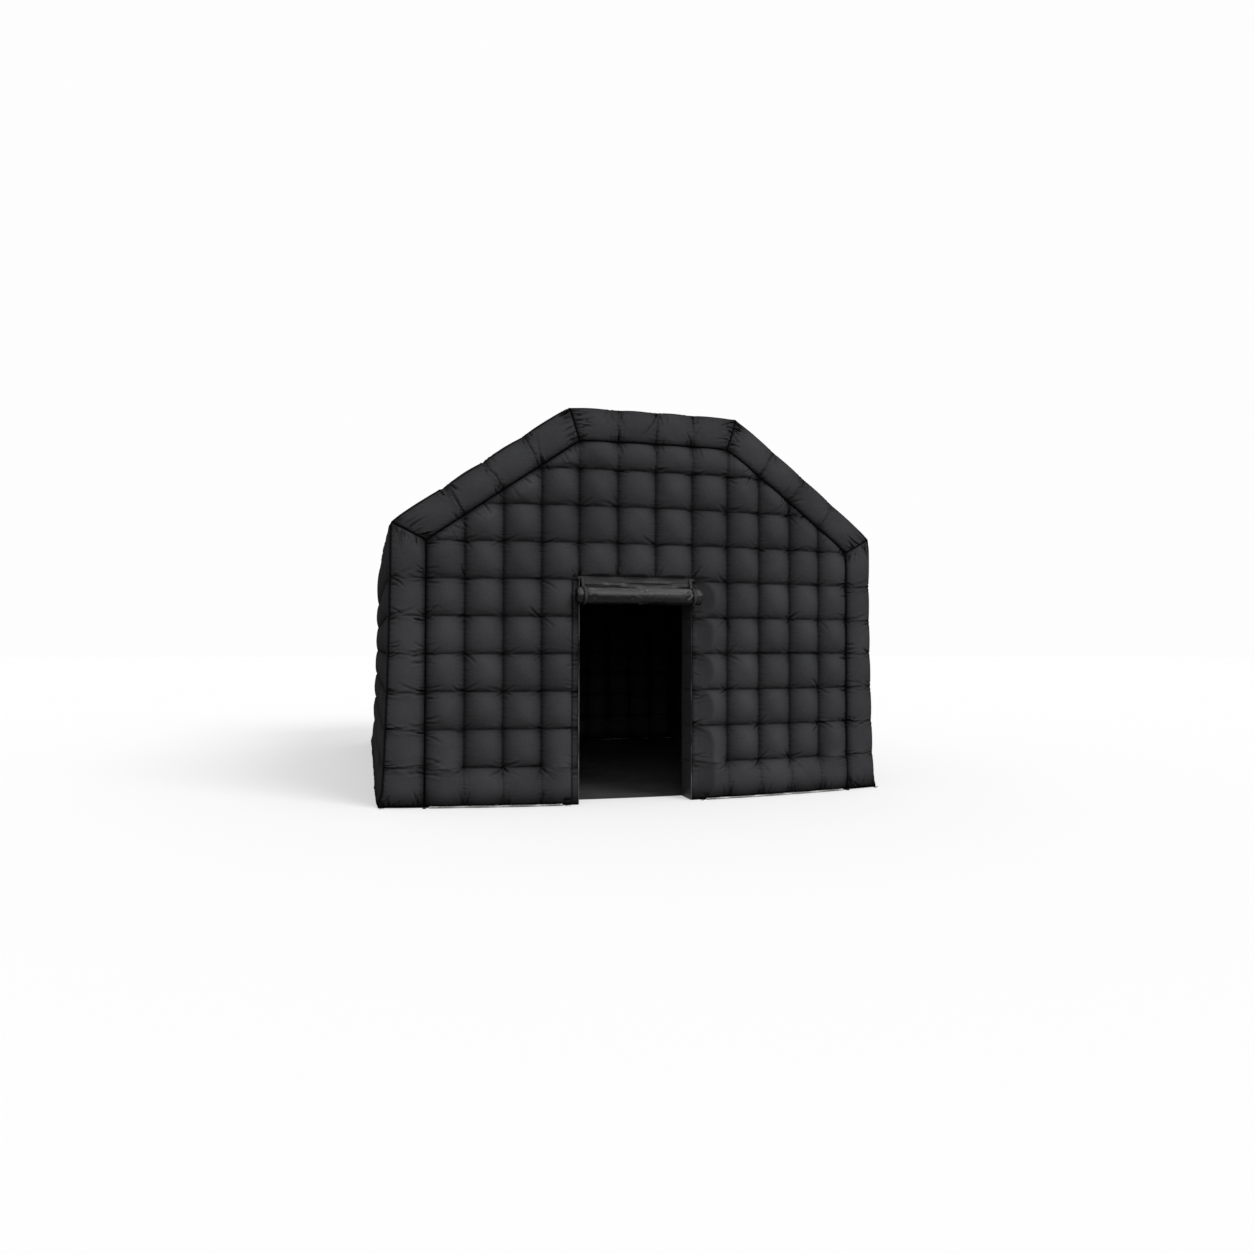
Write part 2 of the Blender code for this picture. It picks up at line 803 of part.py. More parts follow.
def add_band(name, points, width, thickness, finish, x):
    """Flat webbing that follows a path in (y, z), with its middle at x."""
    bm = bmesh.new()
    bmesh.ops.create_grid(bm, x_segments=1, y_segments=len(points) - 1, size=1)
    for vert in bm.verts:
        y, z = points[round((vert.co.y + 1) / 2 * (len(points) - 1))]
        vert.co = (x + vert.co.x * width / 2, y, z)
    band = add_piece(name, mesh_from(bm, name), finish)
    thick = band.modifiers.new("webbing", "SOLIDIFY")
    thick.thickness = thickness
    thick.offset = 0
    thick.use_even_offset = True
    return band


# Hem webbing, anchor tabs and rings


def tab_places():
    """Where each front anchor tab is sewn, by name."""
    corner = OUTER_HALF + BASE_FLARE - TAB_INSET
    return {
        "anchor_tab_front_left": -corner,
        "anchor_tab_seam_left": -INNER_HALF,
        "anchor_tab_door_left": DOOR_LEFT - DOOR_TAB_OFFSET,
        "anchor_tab_door_right": DOOR_RIGHT + DOOR_TAB_OFFSET,
        "anchor_tab_seam_right": INNER_HALF,
        "anchor_tab_front_right": corner,
    }


def loop_radius():
    """Middle radius of the loop of webbing that holds a ring's bar."""
    return RING_WIRE + RING_PLAY + TAB_CLOTH / 2


def add_tab(name, x, wall, out):
    """Webbing folded round a ring's bar: out along the ground, round the bar and back."""
    radius = loop_radius()
    low = TAB_CLOTH / 2
    slope = PUFF / (FIRST_ROW / FRONT_STEPS)
    lower_start = wall + out * (slope * TAB_CLOTH + GAP)
    upper_start = wall + out * (slope * (low + 2 * radius + low) + GAP)
    bar = wall + out * TAB_REACH
    turn = arc((0.0, 0.0), radius, -math.pi / 2, math.pi / 2, LOOP_FACETS)
    points = [(lower_start, low)]
    points += [(bar + out * across, low + radius + up) for across, up in turn]
    points.append((upper_start, low + 2 * radius))
    add_band(name, points, TAB_WIDTH, TAB_CLOTH, "webbing", x)


def ring_points(out):
    """A D: a straight bar along X, two small corners and a half circle."""
    half = RING_WIDTH / 2
    side = half - RING_CORNER
    right = arc((side, RING_CORNER), RING_CORNER, -math.pi / 2, 0.0, 2)
    bow = arc((0.0, RING_CORNER), half, 0.0, math.pi, 7)
    left = arc((-side, RING_CORNER), RING_CORNER, math.pi, 1.5 * math.pi, 2)
    return [(x, out * reach, 0.0) for x, reach in right + bow[1:-1] + left]


def add_ring(name, x, wall, out):
    ring = tube_curve(name, ring_points(out), RING_WIRE, closed=True)
    bar = (x, wall + out * TAB_REACH, TAB_CLOTH / 2 + loop_radius())
    add_piece(name, ring, "steel", bar)


def add_anchors():
    ringed = {"anchor_tab_front_left", "anchor_tab_door_left", "anchor_tab_door_right",
              "anchor_tab_front_right"}
    for name, x in tab_places().items():
        wall = min(front_face(x - TAB_WIDTH / 2), front_face(x + TAB_WIDTH / 2))
        add_tab(name, x, wall, -1)
        if name in ringed:
            add_ring(name.replace("anchor_tab", "anchor_ring"), x, wall, -1)
    corner = OUTER_HALF + BASE_FLARE - TAB_INSET
    for side, x in (("left", -corner), ("right", corner)):
        add_tab(f"anchor_tab_back_{side}", x, BACK, 1)
        add_ring(f"anchor_ring_back_{side}", x, BACK, 1)


def add_hems():
    tabs = tab_places()
    clear = TAB_WIDTH / 2 + RING_WIDTH / 2
    hems = (
        ("hem_webbing_left", "anchor_tab_seam_left", "anchor_tab_door_left"),
        ("hem_webbing_right", "anchor_tab_door_right", "anchor_tab_seam_right"),
    )
    slope = PUFF / (FIRST_ROW / FRONT_STEPS)
    for name, first, second in hems:
        lines = wall_lines(tabs[first] + clear, tabs[second] - clear)
        near_wall = slope * HEM_THICKNESS + GAP
        add_strip(
            name,
            lines,
            lambda x: front_face(x) - near_wall - HEM_WIDTH,
            lambda x: front_face(x) - near_wall,
            0.0,
            HEM_THICKNESS,
            "pale webbing",
        )


# Deflation zip


def add_zip():
    x, z = ZIP
    face = BACK + GAP
    half_tape, half_teeth = ZIP_TAPE_WIDTH / 2, ZIP_TEETH_WIDTH / 2
    top = ZIP_TAPE + ZIP_TEETH
    tape = [
        (0.0, -half_tape), (ZIP_TAPE, -half_tape), (ZIP_TAPE, -half_teeth), (top, -half_teeth),
        (top, half_teeth), (ZIP_TAPE, half_teeth), (ZIP_TAPE, half_tape), (0.0, half_tape),
    ]
    place = Matrix.Translation((x, face, z))
    add_piece("zip_tape", plate_mesh("zip_tape", [tape], ZIP_LENGTH, place @ SIDE_ON), "webbing")
    foot, roof = ZIP_TAPE + GAP, top + GAP
    inner, outer = half_teeth + GAP, SLIDER_WIDTH / 2
    crest = roof + SLIDER_WALL
    slider = [
        (foot, -outer), (foot, -inner), (roof, -inner), (roof, inner), (foot, inner), (foot, outer),
        (crest, outer), (crest + SLIDER_WALL, outer - SLIDER_WALL),
        (crest + SLIDER_WALL, -PULL_LENGTH), (crest, -PULL_LENGTH), (crest, -outer),
    ]
    start = x - ZIP_LENGTH / 2 + SLIDER_LENGTH
    mesh = plate_mesh("zip_slider", [slider], SLIDER_LENGTH, SIDE_ON)
    add_piece("zip_slider", mesh, "steel", (start, face, z))


# Inflation sleeve


def spigot_end():
    """Where the blower's spigot ends, in Y."""
    return BACK + 2 * GAP + SLEEVE_LENGTH - SPIGOT_LENGTH


def add_sleeve():
    x, z = PORT
    bore = SPIGOT_RADIUS + GAP
    cuff = bore + SLEEVE_CLOTH
    swell = SLEEVE_RADIUS + SLEEVE_SWELL
    body = SLEEVE_LENGTH - SPIGOT_LENGTH
    profile = [(0.0, 0.0), (SLEEVE_RADIUS, 0.0)]
    for wave in range(SLEEVE_SWELLS):
        waist = SLEEVE_RADIUS if wave < SLEEVE_SWELLS - 1 else cuff
        profile.append((swell, body * (wave + 0.5) / SLEEVE_SWELLS))
        profile.append((waist, body * (wave + 1) / SLEEVE_SWELLS))
    profile += [
        (cuff, SLEEVE_LENGTH), (bore, SLEEVE_LENGTH), (bore, body), (0.0, body),
    ]
    to_back = Matrix.Rotation(math.radians(-90), 4, "X")
    sleeve = turned(add_piece, "inflation_sleeve", profile[::-1], SLEEVE_FACETS, False,
                    "wall cloth", (x, BACK + GAP, z))
    sleeve.rotation_euler = to_back.to_euler()
    strap_y = BACK + GAP + SLEEVE_LENGTH - SPIGOT_LENGTH / 2
    inner, outer = cuff + GAP, cuff + GAP + STRAP_CLOTH
    half = STRAP_WIDTH / 2
    ring = [(outer, half), (outer, -half), (inner, -half), (inner, half)]
    strap = turned(add_piece, "sleeve_strap", ring, SLEEVE_FACETS, True, "webbing", (x, strap_y, z))
    strap.rotation_euler = to_back.to_euler()
    half_long, half_wide = BUCKLE_LENGTH / 2, BUCKLE_WIDTH / 2
    slot_half = (BUCKLE_LENGTH - 3 * BUCKLE_BAR) / 4
    edge = [(-half_long, -half_wide), (half_long, -half_wide), (half_long, half_wide),
            (-half_long, half_wide)]
    slots = []
    for side in (-1, 1):
        centre = side * (BUCKLE_BAR / 2 + slot_half)
        reach = half_wide - BUCKLE_BAR
        slots.append([(centre - slot_half, -reach), (centre + slot_half, -reach),
                      (centre + slot_half, reach), (centre - slot_half, reach)])
    buckle = plate_mesh("sleeve_buckle", [edge, *slots], BUCKLE_THICKNESS)
    top = z + outer + GAP + BUCKLE_THICKNESS / 2
    add_piece("sleeve_buckle", buckle, "moulding", (x, strap_y, top))


# Blower


def blower_axis():
    """The impeller's axis, as (y, z): the duct's middle is level with the port."""
    duct_floor = PORT[1] - DUCT_HEIGHT / 2
    return (
        spigot_end() + SPIGOT_LENGTH + FLANGE_THICKNESS + GAP + DUCT_LENGTH,
        duct_floor + SCROLL_WIDEST,
    )


def scroll_outline(wall, duct_end):
    """The scroll and its duct, in (y, z) about the axis, drawn in by a wall."""
    ceiling = DUCT_HEIGHT - SCROLL_WIDEST
    start = -math.asin(-ceiling / SCROLL_TONGUE)
    sweep = math.radians(270) - start
    points = []
    for step in range(SCROLL_FACETS + 1):
        angle = start + sweep * step / SCROLL_FACETS
        radius = SCROLL_TONGUE + (SCROLL_WIDEST - SCROLL_TONGUE) * step / SCROLL_FACETS - wall
        points.append((-radius * math.cos(angle), radius * math.sin(angle)))
    points.append((-duct_end, wall - SCROLL_WIDEST))
    points.append((-duct_end, ceiling - wall))
    if wall:
        points[0] = (points[0][0], ceiling - wall)
    return points


def scroll_height(across):
    """Height of the scroll's upper faces over the axis, at a distance along Y from it."""
    upper = [point for point in scroll_outline(0.0, DUCT_LENGTH) if point[1] > 0]
    for (low, start), (high, end) in zip(upper, upper[1:]):
        if low <= across <= high:
            return start + (end - start) * (across - low) / (high - low)


def scroll_radius(angle):
    """Outer radius of the scroll towards an angle, from -Y upward."""
    ceiling = DUCT_HEIGHT - SCROLL_WIDEST
    start = -math.asin(-ceiling / SCROLL_TONGUE)
    share = (angle - start) / (math.radians(270) - start)
    return SCROLL_TONGUE + (SCROLL_WIDEST - SCROLL_TONGUE) * share


def add_housing(x, y, z):
    half = SCROLL_WIDTH / 2
    for name, side in (("blower_housing_left", -1), ("blower_housing_right", 1)):
        width = half - GAP / 2
        place = Matrix.Translation((side * (GAP / 2 + width / 2), 0, 0)) @ SIDE_ON
        outline = scroll_outline(0.0, DUCT_LENGTH)
        shell = add_piece(name, plate_mesh(name, [outline], width, place), "moulding", (x, y, z))
        hollow_width = half - SCROLL_WALL + OVERRUN
        shift = Matrix.Translation((side * (half - SCROLL_WALL - hollow_width / 2), 0, 0)) @ SIDE_ON
        hollow = scroll_outline(SCROLL_WALL, DUCT_LENGTH + OVERRUN)
        cutter = plate_mesh(f"{name}_hollow", [hollow], hollow_width, shift)
        where = Matrix.Translation((x, y, z))
        combine(shell, helper(f"{name}_hollow", cutter, where), "DIFFERENCE")
        intake = cylinder_mesh(f"{name}_intake", INTAKE_RADIUS, 2 * OVERRUN, BLOWER_FACETS)
        spot = Matrix.Translation((x + side * half, y, z)) @ ALONG_X
        combine(shell, helper(f"{name}_intake", intake, spot), "DIFFERENCE")


def add_nozzle(x, y):
    """Flange on the duct's mouth and the round spigot that the sleeve is strapped to."""
    half_wide, half_high = SCROLL_WIDTH / 2, DUCT_HEIGHT / 2
    edge = [(-half_wide, -half_high), (half_wide, -half_high), (half_wide, half_high),
            (-half_wide, half_high)]
    bore = SPIGOT_RADIUS - SPIGOT_WALL
    mid = SPIGOT_RADIUS - SPIGOT_WALL / 2
    upright = Matrix.Rotation(math.radians(90), 4, "X")
    mesh = plate_mesh("blower_nozzle", [edge, circle(mid, SLEEVE_FACETS)], FLANGE_THICKNESS, upright)
    mouth = (x, y, PORT[1])
    nozzle = add_piece("blower_nozzle", mesh, "moulding", mouth)
    profile = [(SPIGOT_RADIUS, SPIGOT_LENGTH + FLANGE_THICKNESS / 2), (SPIGOT_RADIUS, 0.0),
               (bore, 0.0), (bore, SPIGOT_LENGTH + FLANGE_THICKNESS / 2)]
    matrix = Matrix.Translation(mouth) @ upright
    tube = turned(helper, "blower_spigot", profile, SLEEVE_FACETS, True, matrix)
    combine(nozzle, tube, "UNION")


def add_impeller(x, y, z):
    """A double-inlet cage: curved blades through a middle disc, held by a ring at each end."""
    disc_radius = IMPELLER_RADIUS - BLADE_THICKNESS
    disc = cylinder_mesh("impeller", disc_radius, IMPELLER_DISC, BLOWER_FACETS)
    impeller = add_piece("impeller", disc, "impeller", (x, y, z))
    impeller.rotation_euler = ALONG_X.to_euler()
    here = Matrix.Translation((x, y, z)) @ ALONG_X
    root = IMPELLER_RADIUS - BLADE_CHORD
    blades = group("impeller_blades")
    blades.hide_render = True
    half = BLADE_THICKNESS / 2
    line = [(0.0, 0.0), (BLADE_CHORD / 2, BLADE_CURVE), (BLADE_CHORD, 0.0)]
    outline = [(a, b - half) for a, b in line] + [(a, b + half) for a, b in line[::-1]]
    foot = Matrix.Translation((root, 0, 0)) @ Matrix.Rotation(BLADE_LEAN, 4, "Z")
    joined = []
    for number in range(BLADE_COUNT):
        turn = Matrix.Rotation(2 * math.pi * number / BLADE_COUNT, 4, "Z")
        mesh = plate_mesh(f"blade_{number}", [outline], IMPELLER_WIDTH, turn @ foot)
        joined.append(helper(f"blade_{number}", mesh, here))
    reach = BLADE_CHORD * math.cos(BLADE_LEAN)
    tip = math.hypot(root + reach, BLADE_CHORD * math.sin(BLADE_LEAN))
    for side in (-1, 1):
        outlines = [circle(tip, BLOWER_FACETS), circle(root, BLOWER_FACETS)]
        shift = Matrix.Translation((0, 0, side * (IMPELLER_WIDTH - END_RING) / 2))
        ring = plate_mesh("end_ring", outlines, END_RING, shift)
        joined.append(helper(f"end_ring_{side}", ring, here))
    hub = cylinder_mesh("hub", HUB_RADIUS, HUB_LENGTH, BLOWER_FACETS // 2)
    joined.append(helper("hub", hub, here))
    for obj in joined:
        group(CUTTERS).objects.unlink(obj)
        blades.objects.link(obj)
    union = impeller.modifiers.new("cage", "BOOLEAN")
    union.operation = "UNION"
    union.operand_type = "COLLECTION"
    union.collection = blades
    union.solver = "EXACT"
    bore = cylinder_mesh("hub_bore", SHAFT_RADIUS + GAP, HUB_LENGTH + 2 * OVERRUN, BLOWER_FACETS // 2)
    combine(impeller, helper("hub_bore", bore, here), "DIFFERENCE")


def add_motor(x, y, z):
    """Motor can inside the cage, its shaft, and the bracket that holds it at the left intake."""
    outside = -SCROLL_WIDTH / 2 - GAP
    face = -HUB_LENGTH / 2 - MOTOR_CLEARANCE
    length = face - outside
    radius, chamfered = MOTOR_RADIUS, MOTOR_RADIUS - MOTOR_CHAMFER
    bore = SHAFT_RADIUS + GAP
    profile = [
        (0.0, length - SHAFT_BURIED), (bore, length - SHAFT_BURIED), (bore, length),
        (chamfered, length), (radius, length - MOTOR_CHAMFER), (radius, MOTOR_CHAMFER),
        (chamfered, 0.0), (0.0, 0.0),
    ]
    motor = turned(add_piece, "blower_motor", profile, BLOWER_FACETS // 2, False, "motor",
                   (x + outside, y, z))
    motor.rotation_euler = ALONG_X.to_euler()
    start, end = face - SHAFT_BURIED + 2 * GAP, HUB_LENGTH / 2
    shaft = cylinder_mesh("motor_shaft", SHAFT_RADIUS, end - start, BLOWER_FACETS // 2)
    axle = add_piece("motor_shaft", shaft, "steel", (x + (start + end) / 2, y, z))
    axle.rotation_euler = ALONG_X.to_euler()
    windows = spoked(BRACKET_ARMS, BRACKET_ARM, BRACKET_DISC, BLOWER_FACETS // BRACKET_ARMS)
    place = Matrix.Translation((outside - BRACKET_THICKNESS / 2 - GAP, 0, 0)) @ SIDE_ON
    bracket = plate_mesh("motor_bracket", windows, BRACKET_THICKNESS, place)
    add_piece("motor_bracket", bracket, "moulding", (x, y, z))


def spoked(count, bar, hub, steps):
    """Outlines of a round plate over an intake, with windows between its spokes."""
    outlines = [circle(INTAKE_RADIUS + RIM_WIDTH, BLOWER_FACETS)]
    outer_half, inner_half = bar / 2 / INTAKE_RADIUS, bar / 2 / hub
    for window in range(count):
        start = 2 * math.pi * window / count
        end = 2 * math.pi * (window + 1) / count
        outlines.append(
            arc((0.0, 0.0), INTAKE_RADIUS, start + outer_half, end - outer_half, steps)
            + arc((0.0, 0.0), hub, end - inner_half, start + inner_half, steps)
        )
    return outlines


def add_grille(name, x, y, z):
    """Round grille with tapered slots between its hub and its rim."""
    outlines = spoked(GRILLE_SLOTS, GRILLE_BAR, GRILLE_HUB, 1)
    mesh = plate_mesh(name, outlines, GRILLE_THICKNESS, SIDE_ON)
    add_piece(name, mesh, "moulding", (x, y, z))


def add_handle(x, y, z):
    """Carrying handle that arches over the top of the scroll, along Y."""
    half, inner = HANDLE_SPAN / 2, HANDLE_SPAN / 2 - HANDLE_RADIUS
    crest = scroll_radius(math.pi / 2) + HANDLE_RISE
    bend = HANDLE_BEND
    path = [(-half, scroll_height(-inner) + GAP)]
    path += arc((-half + bend, crest - bend), bend, math.pi, math.pi / 2, 4)
    path += arc((half - bend, crest - bend), bend, math.pi / 2, 0.0, 4)
    path.append((half, scroll_height(inner) + GAP))
    points = [(0.0, across, up) for across, up in path]
    handle = tube_curve("blower_handle", points, HANDLE_RADIUS)
    add_piece("blower_handle", handle, "moulding", (x, y, z))


def add_skids(x, y, z):
    """Two feet that cradle the scroll and stand it on the ground."""
    under = scroll_outline(-GAP, DUCT_LENGTH)[SCROLL_FACETS - SKID_FACETS : SCROLL_FACETS + 1]
    top = [(across, up) for across, up in under]
    level = top[-1][1]
    outline = top + [(-SKID_REACH, level), (-SKID_REACH - SKID_TOE, -z), (top[0][0], -z)]
    for name, side in (("blower_skid_left", -1), ("blower_skid_right", 1)):
        across = side * (SCROLL_WIDTH / 2 - SKID_INSET - SKID_THICKNESS / 2)
        mesh = plate_mesh(name, [outline], SKID_THICKNESS, SIDE_ON)
        add_piece(name, mesh, "rubber", (x + across, y, z))


def add_switch(x, y, z):
    """Switch box on top of the duct, with a rocker in its well and a gland at its side."""
    ceiling = z + DUCT_HEIGHT - SCROLL_WIDEST
    front, rear = y - DUCT_LENGTH + BOX_SETBACK, y - scroll_radius(0.0) - BOX_CLEARANCE
    centre_y = (front + rear) / 2
    centre_z = ceiling + GAP + BOX_HEIGHT / 2
    box = add_piece("switch_box", box_mesh("switch_box", (BOX_WIDTH, rear - front, BOX_HEIGHT)),
                    "moulding", (x, centre_y, centre_z))
    bevel = box.modifiers.new("edges", "BEVEL")
    bevel.width = BOX_BEVEL
    bevel.segments = 1
    lid = centre_z + BOX_HEIGHT / 2
    well_size = (ROCKER_WIDTH + 2 * ROCKER_PLAY, ROCKER_LENGTH + 2 * ROCKER_PLAY, 2 * ROCKER_HEIGHT)
    well = helper("switch_well", box_mesh("switch_well", well_size),
                  Matrix.Translation((x, centre_y, lid)))
    combine(box, well, "DIFFERENCE")
    half, drop = ROCKER_LENGTH / 2, ROCKER_HEIGHT - ROCKER_PROUD
    heel, dish = -drop * ROCKER_HEEL_SHARE, ROCKER_PROUD * ROCKER_DISH_SHARE
    outline = [(-half, heel), (0.0, -drop), (half, heel), (half, ROCKER_PROUD), (0.0, dish),
               (-half, ROCKER_PROUD)]
    mesh = plate_mesh("rocker_switch", [outline], ROCKER_WIDTH, SIDE_ON)
    rocker = add_piece("rocker_switch", mesh, "rocker", (x, centre_y, lid))
    rocker.rotation_euler.x = -ROCKER_TILT
    side = x + BOX_WIDTH / 2 + GAP
    profile = [
        (0.0, GLAND_SHOULDER), (GLAND_BORE, GLAND_SHOULDER), (GLAND_BORE, GLAND_LENGTH),
        (GLAND_LIP_RADIUS, GLAND_LENGTH), (GLAND_RADIUS, GLAND_LENGTH - GLAND_SHOULDER),
        (GLAND_RADIUS, 0.0), (0.0, 0.0),
    ]
    gland = turned(add_piece, "cable_gland", profile, GLAND_FACETS, False, "rubber",
                   (side, centre_y, centre_z))
    gland.rotation_euler = ALONG_X.to_euler()


def add_blower():
    x = PORT[0]
    y, z = blower_axis()
    add_housing(x, y, z)
    add_nozzle(x, y - DUCT_LENGTH - GAP - FLANGE_THICKNESS / 2)
    add_impeller(x, y, z)
    add_motor(x, y, z)
    outside = SCROLL_WIDTH / 2 + GAP
    left = outside + GAP + BRACKET_THICKNESS + GAP
    add_grille("inlet_grille_left", x - left - GRILLE_THICKNESS / 2, y, z)
    add_grille("inlet_grille_right", x + outside + GRILLE_THICKNESS / 2, y, z)
    add_handle(x, y, z)
    add_skids(x, y, z)
    add_switch(x, y, z)


def main():
    clear_scene()
    add_frame()
    add_end_walls()
    add_floor()
    add_door_facings()
    add_curtain()
    add_anchors()
    add_hems()
    add_zip()
    add_sleeve()
    add_blower()


main()
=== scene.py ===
# Inflatable house tent: cloth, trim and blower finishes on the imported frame.
import math

import bmesh
import bpy
import numpy as np
from mathutils import Matrix


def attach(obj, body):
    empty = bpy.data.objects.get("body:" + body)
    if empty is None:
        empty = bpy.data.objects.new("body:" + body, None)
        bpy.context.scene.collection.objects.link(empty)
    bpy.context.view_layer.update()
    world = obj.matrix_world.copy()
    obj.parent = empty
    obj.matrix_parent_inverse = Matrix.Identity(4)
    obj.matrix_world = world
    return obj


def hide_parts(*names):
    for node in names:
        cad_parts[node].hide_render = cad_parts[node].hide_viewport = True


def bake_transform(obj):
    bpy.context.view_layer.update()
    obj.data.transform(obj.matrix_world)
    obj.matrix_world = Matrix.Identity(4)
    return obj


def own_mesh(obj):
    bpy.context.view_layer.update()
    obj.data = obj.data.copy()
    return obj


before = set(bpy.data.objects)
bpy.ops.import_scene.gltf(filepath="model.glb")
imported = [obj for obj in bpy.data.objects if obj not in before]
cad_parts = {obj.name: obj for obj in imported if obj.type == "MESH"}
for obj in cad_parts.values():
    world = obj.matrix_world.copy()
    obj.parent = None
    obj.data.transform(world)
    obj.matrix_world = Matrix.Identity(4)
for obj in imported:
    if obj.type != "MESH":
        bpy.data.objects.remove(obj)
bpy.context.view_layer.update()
scene = bpy.context.scene
scene.view_settings.view_transform = "Standard"
print("frame loaded:", len(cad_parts), "nodes")

# camera, light and floor

view = {
    "place": (-2.679, -11.837, 1.48),
    "yaw": 0.274,  # towards +X
    "pitch": 0.021,
    "roll": 0.002,
    "focal": 933.2,  # in pixels of a frame this wide
    "frame": 1254,
    "sensor": 36,
    "far": 300,
}
studio = {
    "sky": 0.46,
    "key": (1.75, 36, 36, 30),  # strength, height, side and softness, the last three in degrees
    "fill": (0.85, 19, -12, 40),
    "top": (0.45, 74, 30, 50),
    "white": 0.985,
    "floor": 0.99,
    "floorBounce": 0.16,  # the floor as the tent's own shade sees it
    "floorReach": 120,
    "floorDrop": 0.001,  # below the tent's underside
    "shadowFade": 0.42,
}


def meshFrom(bm, name):
    mesh = bpy.data.meshes.new(name)
    bm.to_mesh(mesh)
    bm.free()
    return mesh


def placeCamera():
    data = bpy.data.cameras.new("photoView")
    data.sensor_width = view["sensor"]
    data.lens = view["focal"] * data.sensor_width / view["frame"]
    data.clip_end = view["far"]
    camera = bpy.data.objects.new("photoView", data)
    turn = Matrix.Rotation(-view["yaw"], 4, "Z")
    tilt = Matrix.Rotation(math.pi / 2 + view["pitch"], 4, "X")
    roll = Matrix.Rotation(view["roll"], 4, "Z")
    camera.matrix_world = Matrix.Translation(view["place"]) @ turn @ tilt @ roll
    scene.collection.objects.link(camera)
    scene.camera = camera


def addSun(name, strength, height, side, softness):
    lamp = bpy.data.lights.new(name, "SUN")
    lamp.energy = strength
    lamp.angle = math.radians(softness)
    sun = bpy.data.objects.new(name, lamp)
    sun.rotation_euler = (math.radians(90 - height), 0, math.radians(side))
    scene.collection.objects.link(sun)


class Value:
    # a shader socket that takes part in sums
    def __init__(self, tree, socket):
        self.tree = tree
        self.socket = socket

    def maths(self, operation, first, second=None):
        node = self.tree.nodes.new("ShaderNodeMath")
        node.operation = operation
        for slot, item in zip(node.inputs, (first, second)):
            if isinstance(item, Value):
                self.tree.links.new(item.socket, slot)
            elif item is not None:
                slot.default_value = item
        return Value(self.tree, node.outputs[0])

    def __add__(self, other): return self.maths("ADD", self, other)
    def __sub__(self, other): return self.maths("SUBTRACT", self, other)
    def __rsub__(self, other): return self.maths("SUBTRACT", other, self)
    def __mul__(self, other): return self.maths("MULTIPLY", self, other)
    __radd__ = __add__
    __rmul__ = __mul__

    def wave(self):
        return self.maths("SINE", self)

    def most(self, other):
        return self.maths("MAXIMUM", self, other)


class Finish:
    # one material and its nodes
    def __init__(self, name, colour, slot=None, **constants):
        self.slot = slot
        self.material = bpy.data.materials.new(name)
        self.material.use_nodes = True
        self.tree = self.material.node_tree
        self.shader = self.tree.nodes["Principled BSDF"]
        self.shader.inputs["Base Color"].default_value = (*colour, 1)
        for key, value in constants.items():
            self.shader.inputs[key.replace("_", " ")].default_value = value

    def node(self, kind, sockets=None, out=0, **settings):
        made = self.tree.nodes.new(kind)
        for key, value in settings.items():
            setattr(made, key, value)
        for key, value in (sockets or {}).items():
            if isinstance(value, Value):
                self.tree.links.new(value.socket, made.inputs[key])
            else:
                made.inputs[key].default_value = value
        return Value(self.tree, made.outputs[out])

    def feed(self, name, value):
        self.tree.links.new(value.socket, self.shader.inputs[name])

    def place(self):
        return self.node("ShaderNodeTexCoord", out="Object")

    def stretched(self, vector, scale):
        return self.node("ShaderNodeMapping", {"Vector": vector, "Scale": scale})

    def noise(self, vector, scale, detail=3, rough=0.5):
        sockets = {"Vector": vector, "Scale": scale, "Detail": detail, "Roughness": rough}
        return self.node("ShaderNodeTexNoise", sockets)

    def split(self, vector):
        made = self.node("ShaderNodeSeparateXYZ", {0: vector}).socket.node
        return [Value(self.tree, out) for out in made.outputs]

    def mix(self, share, first, second):
        # between two colours, each of them a socket or three numbers
        first, second = (c if isinstance(c, Value) else (*c, 1) for c in (first, second))
        return self.node("ShaderNodeMix", {0: share, 6: first, 7: second}, 2, data_type="RGBA")

    def tones(self, value, start, end):
        # turns a value into a share; each end is a value and its share
        made = self.node("ShaderNodeValToRGB", {"Fac": value})
        for element, (place, tone) in zip(made.socket.node.color_ramp.elements, (start, end)):
            element.position = place
            element.color = (tone, tone, tone, 1)
        return made

    def bump(self, height, distance, strength=1.0, below=None):
        sockets = {"Height": height, "Distance": distance, "Strength": strength}
        if below is not None:
            sockets["Normal"] = below
        return self.node("ShaderNodeBump", sockets)


def seenDirectly(tree):
    # 1 for the camera and in reflections, which then show a white room
    path = tree.nodes.new("ShaderNodeLightPath")
    names = ("Is Camera Ray", "Is Glossy Ray", "Is Transmission Ray")
    camera, glossy, through = (Value(tree, path.outputs[name]) for name in names)
    return camera.most(glossy).most(through)


def lightRoom():
    world = bpy.data.worlds.new("studio")
    world.use_nodes = True
    scene.world = world
    tree = world.node_tree
    back = tree.nodes["Background"]
    back.inputs["Color"].default_value = (1, 1, 1, 1)
    strength = studio["sky"] + seenDirectly(tree) * (studio["white"] - studio["sky"])
    tree.links.new(strength.socket, back.inputs["Strength"])
    addSun("keySun", *studio["key"])
    addSun("fillSun", *studio["fill"])
    addSun("topSun", *studio["top"])


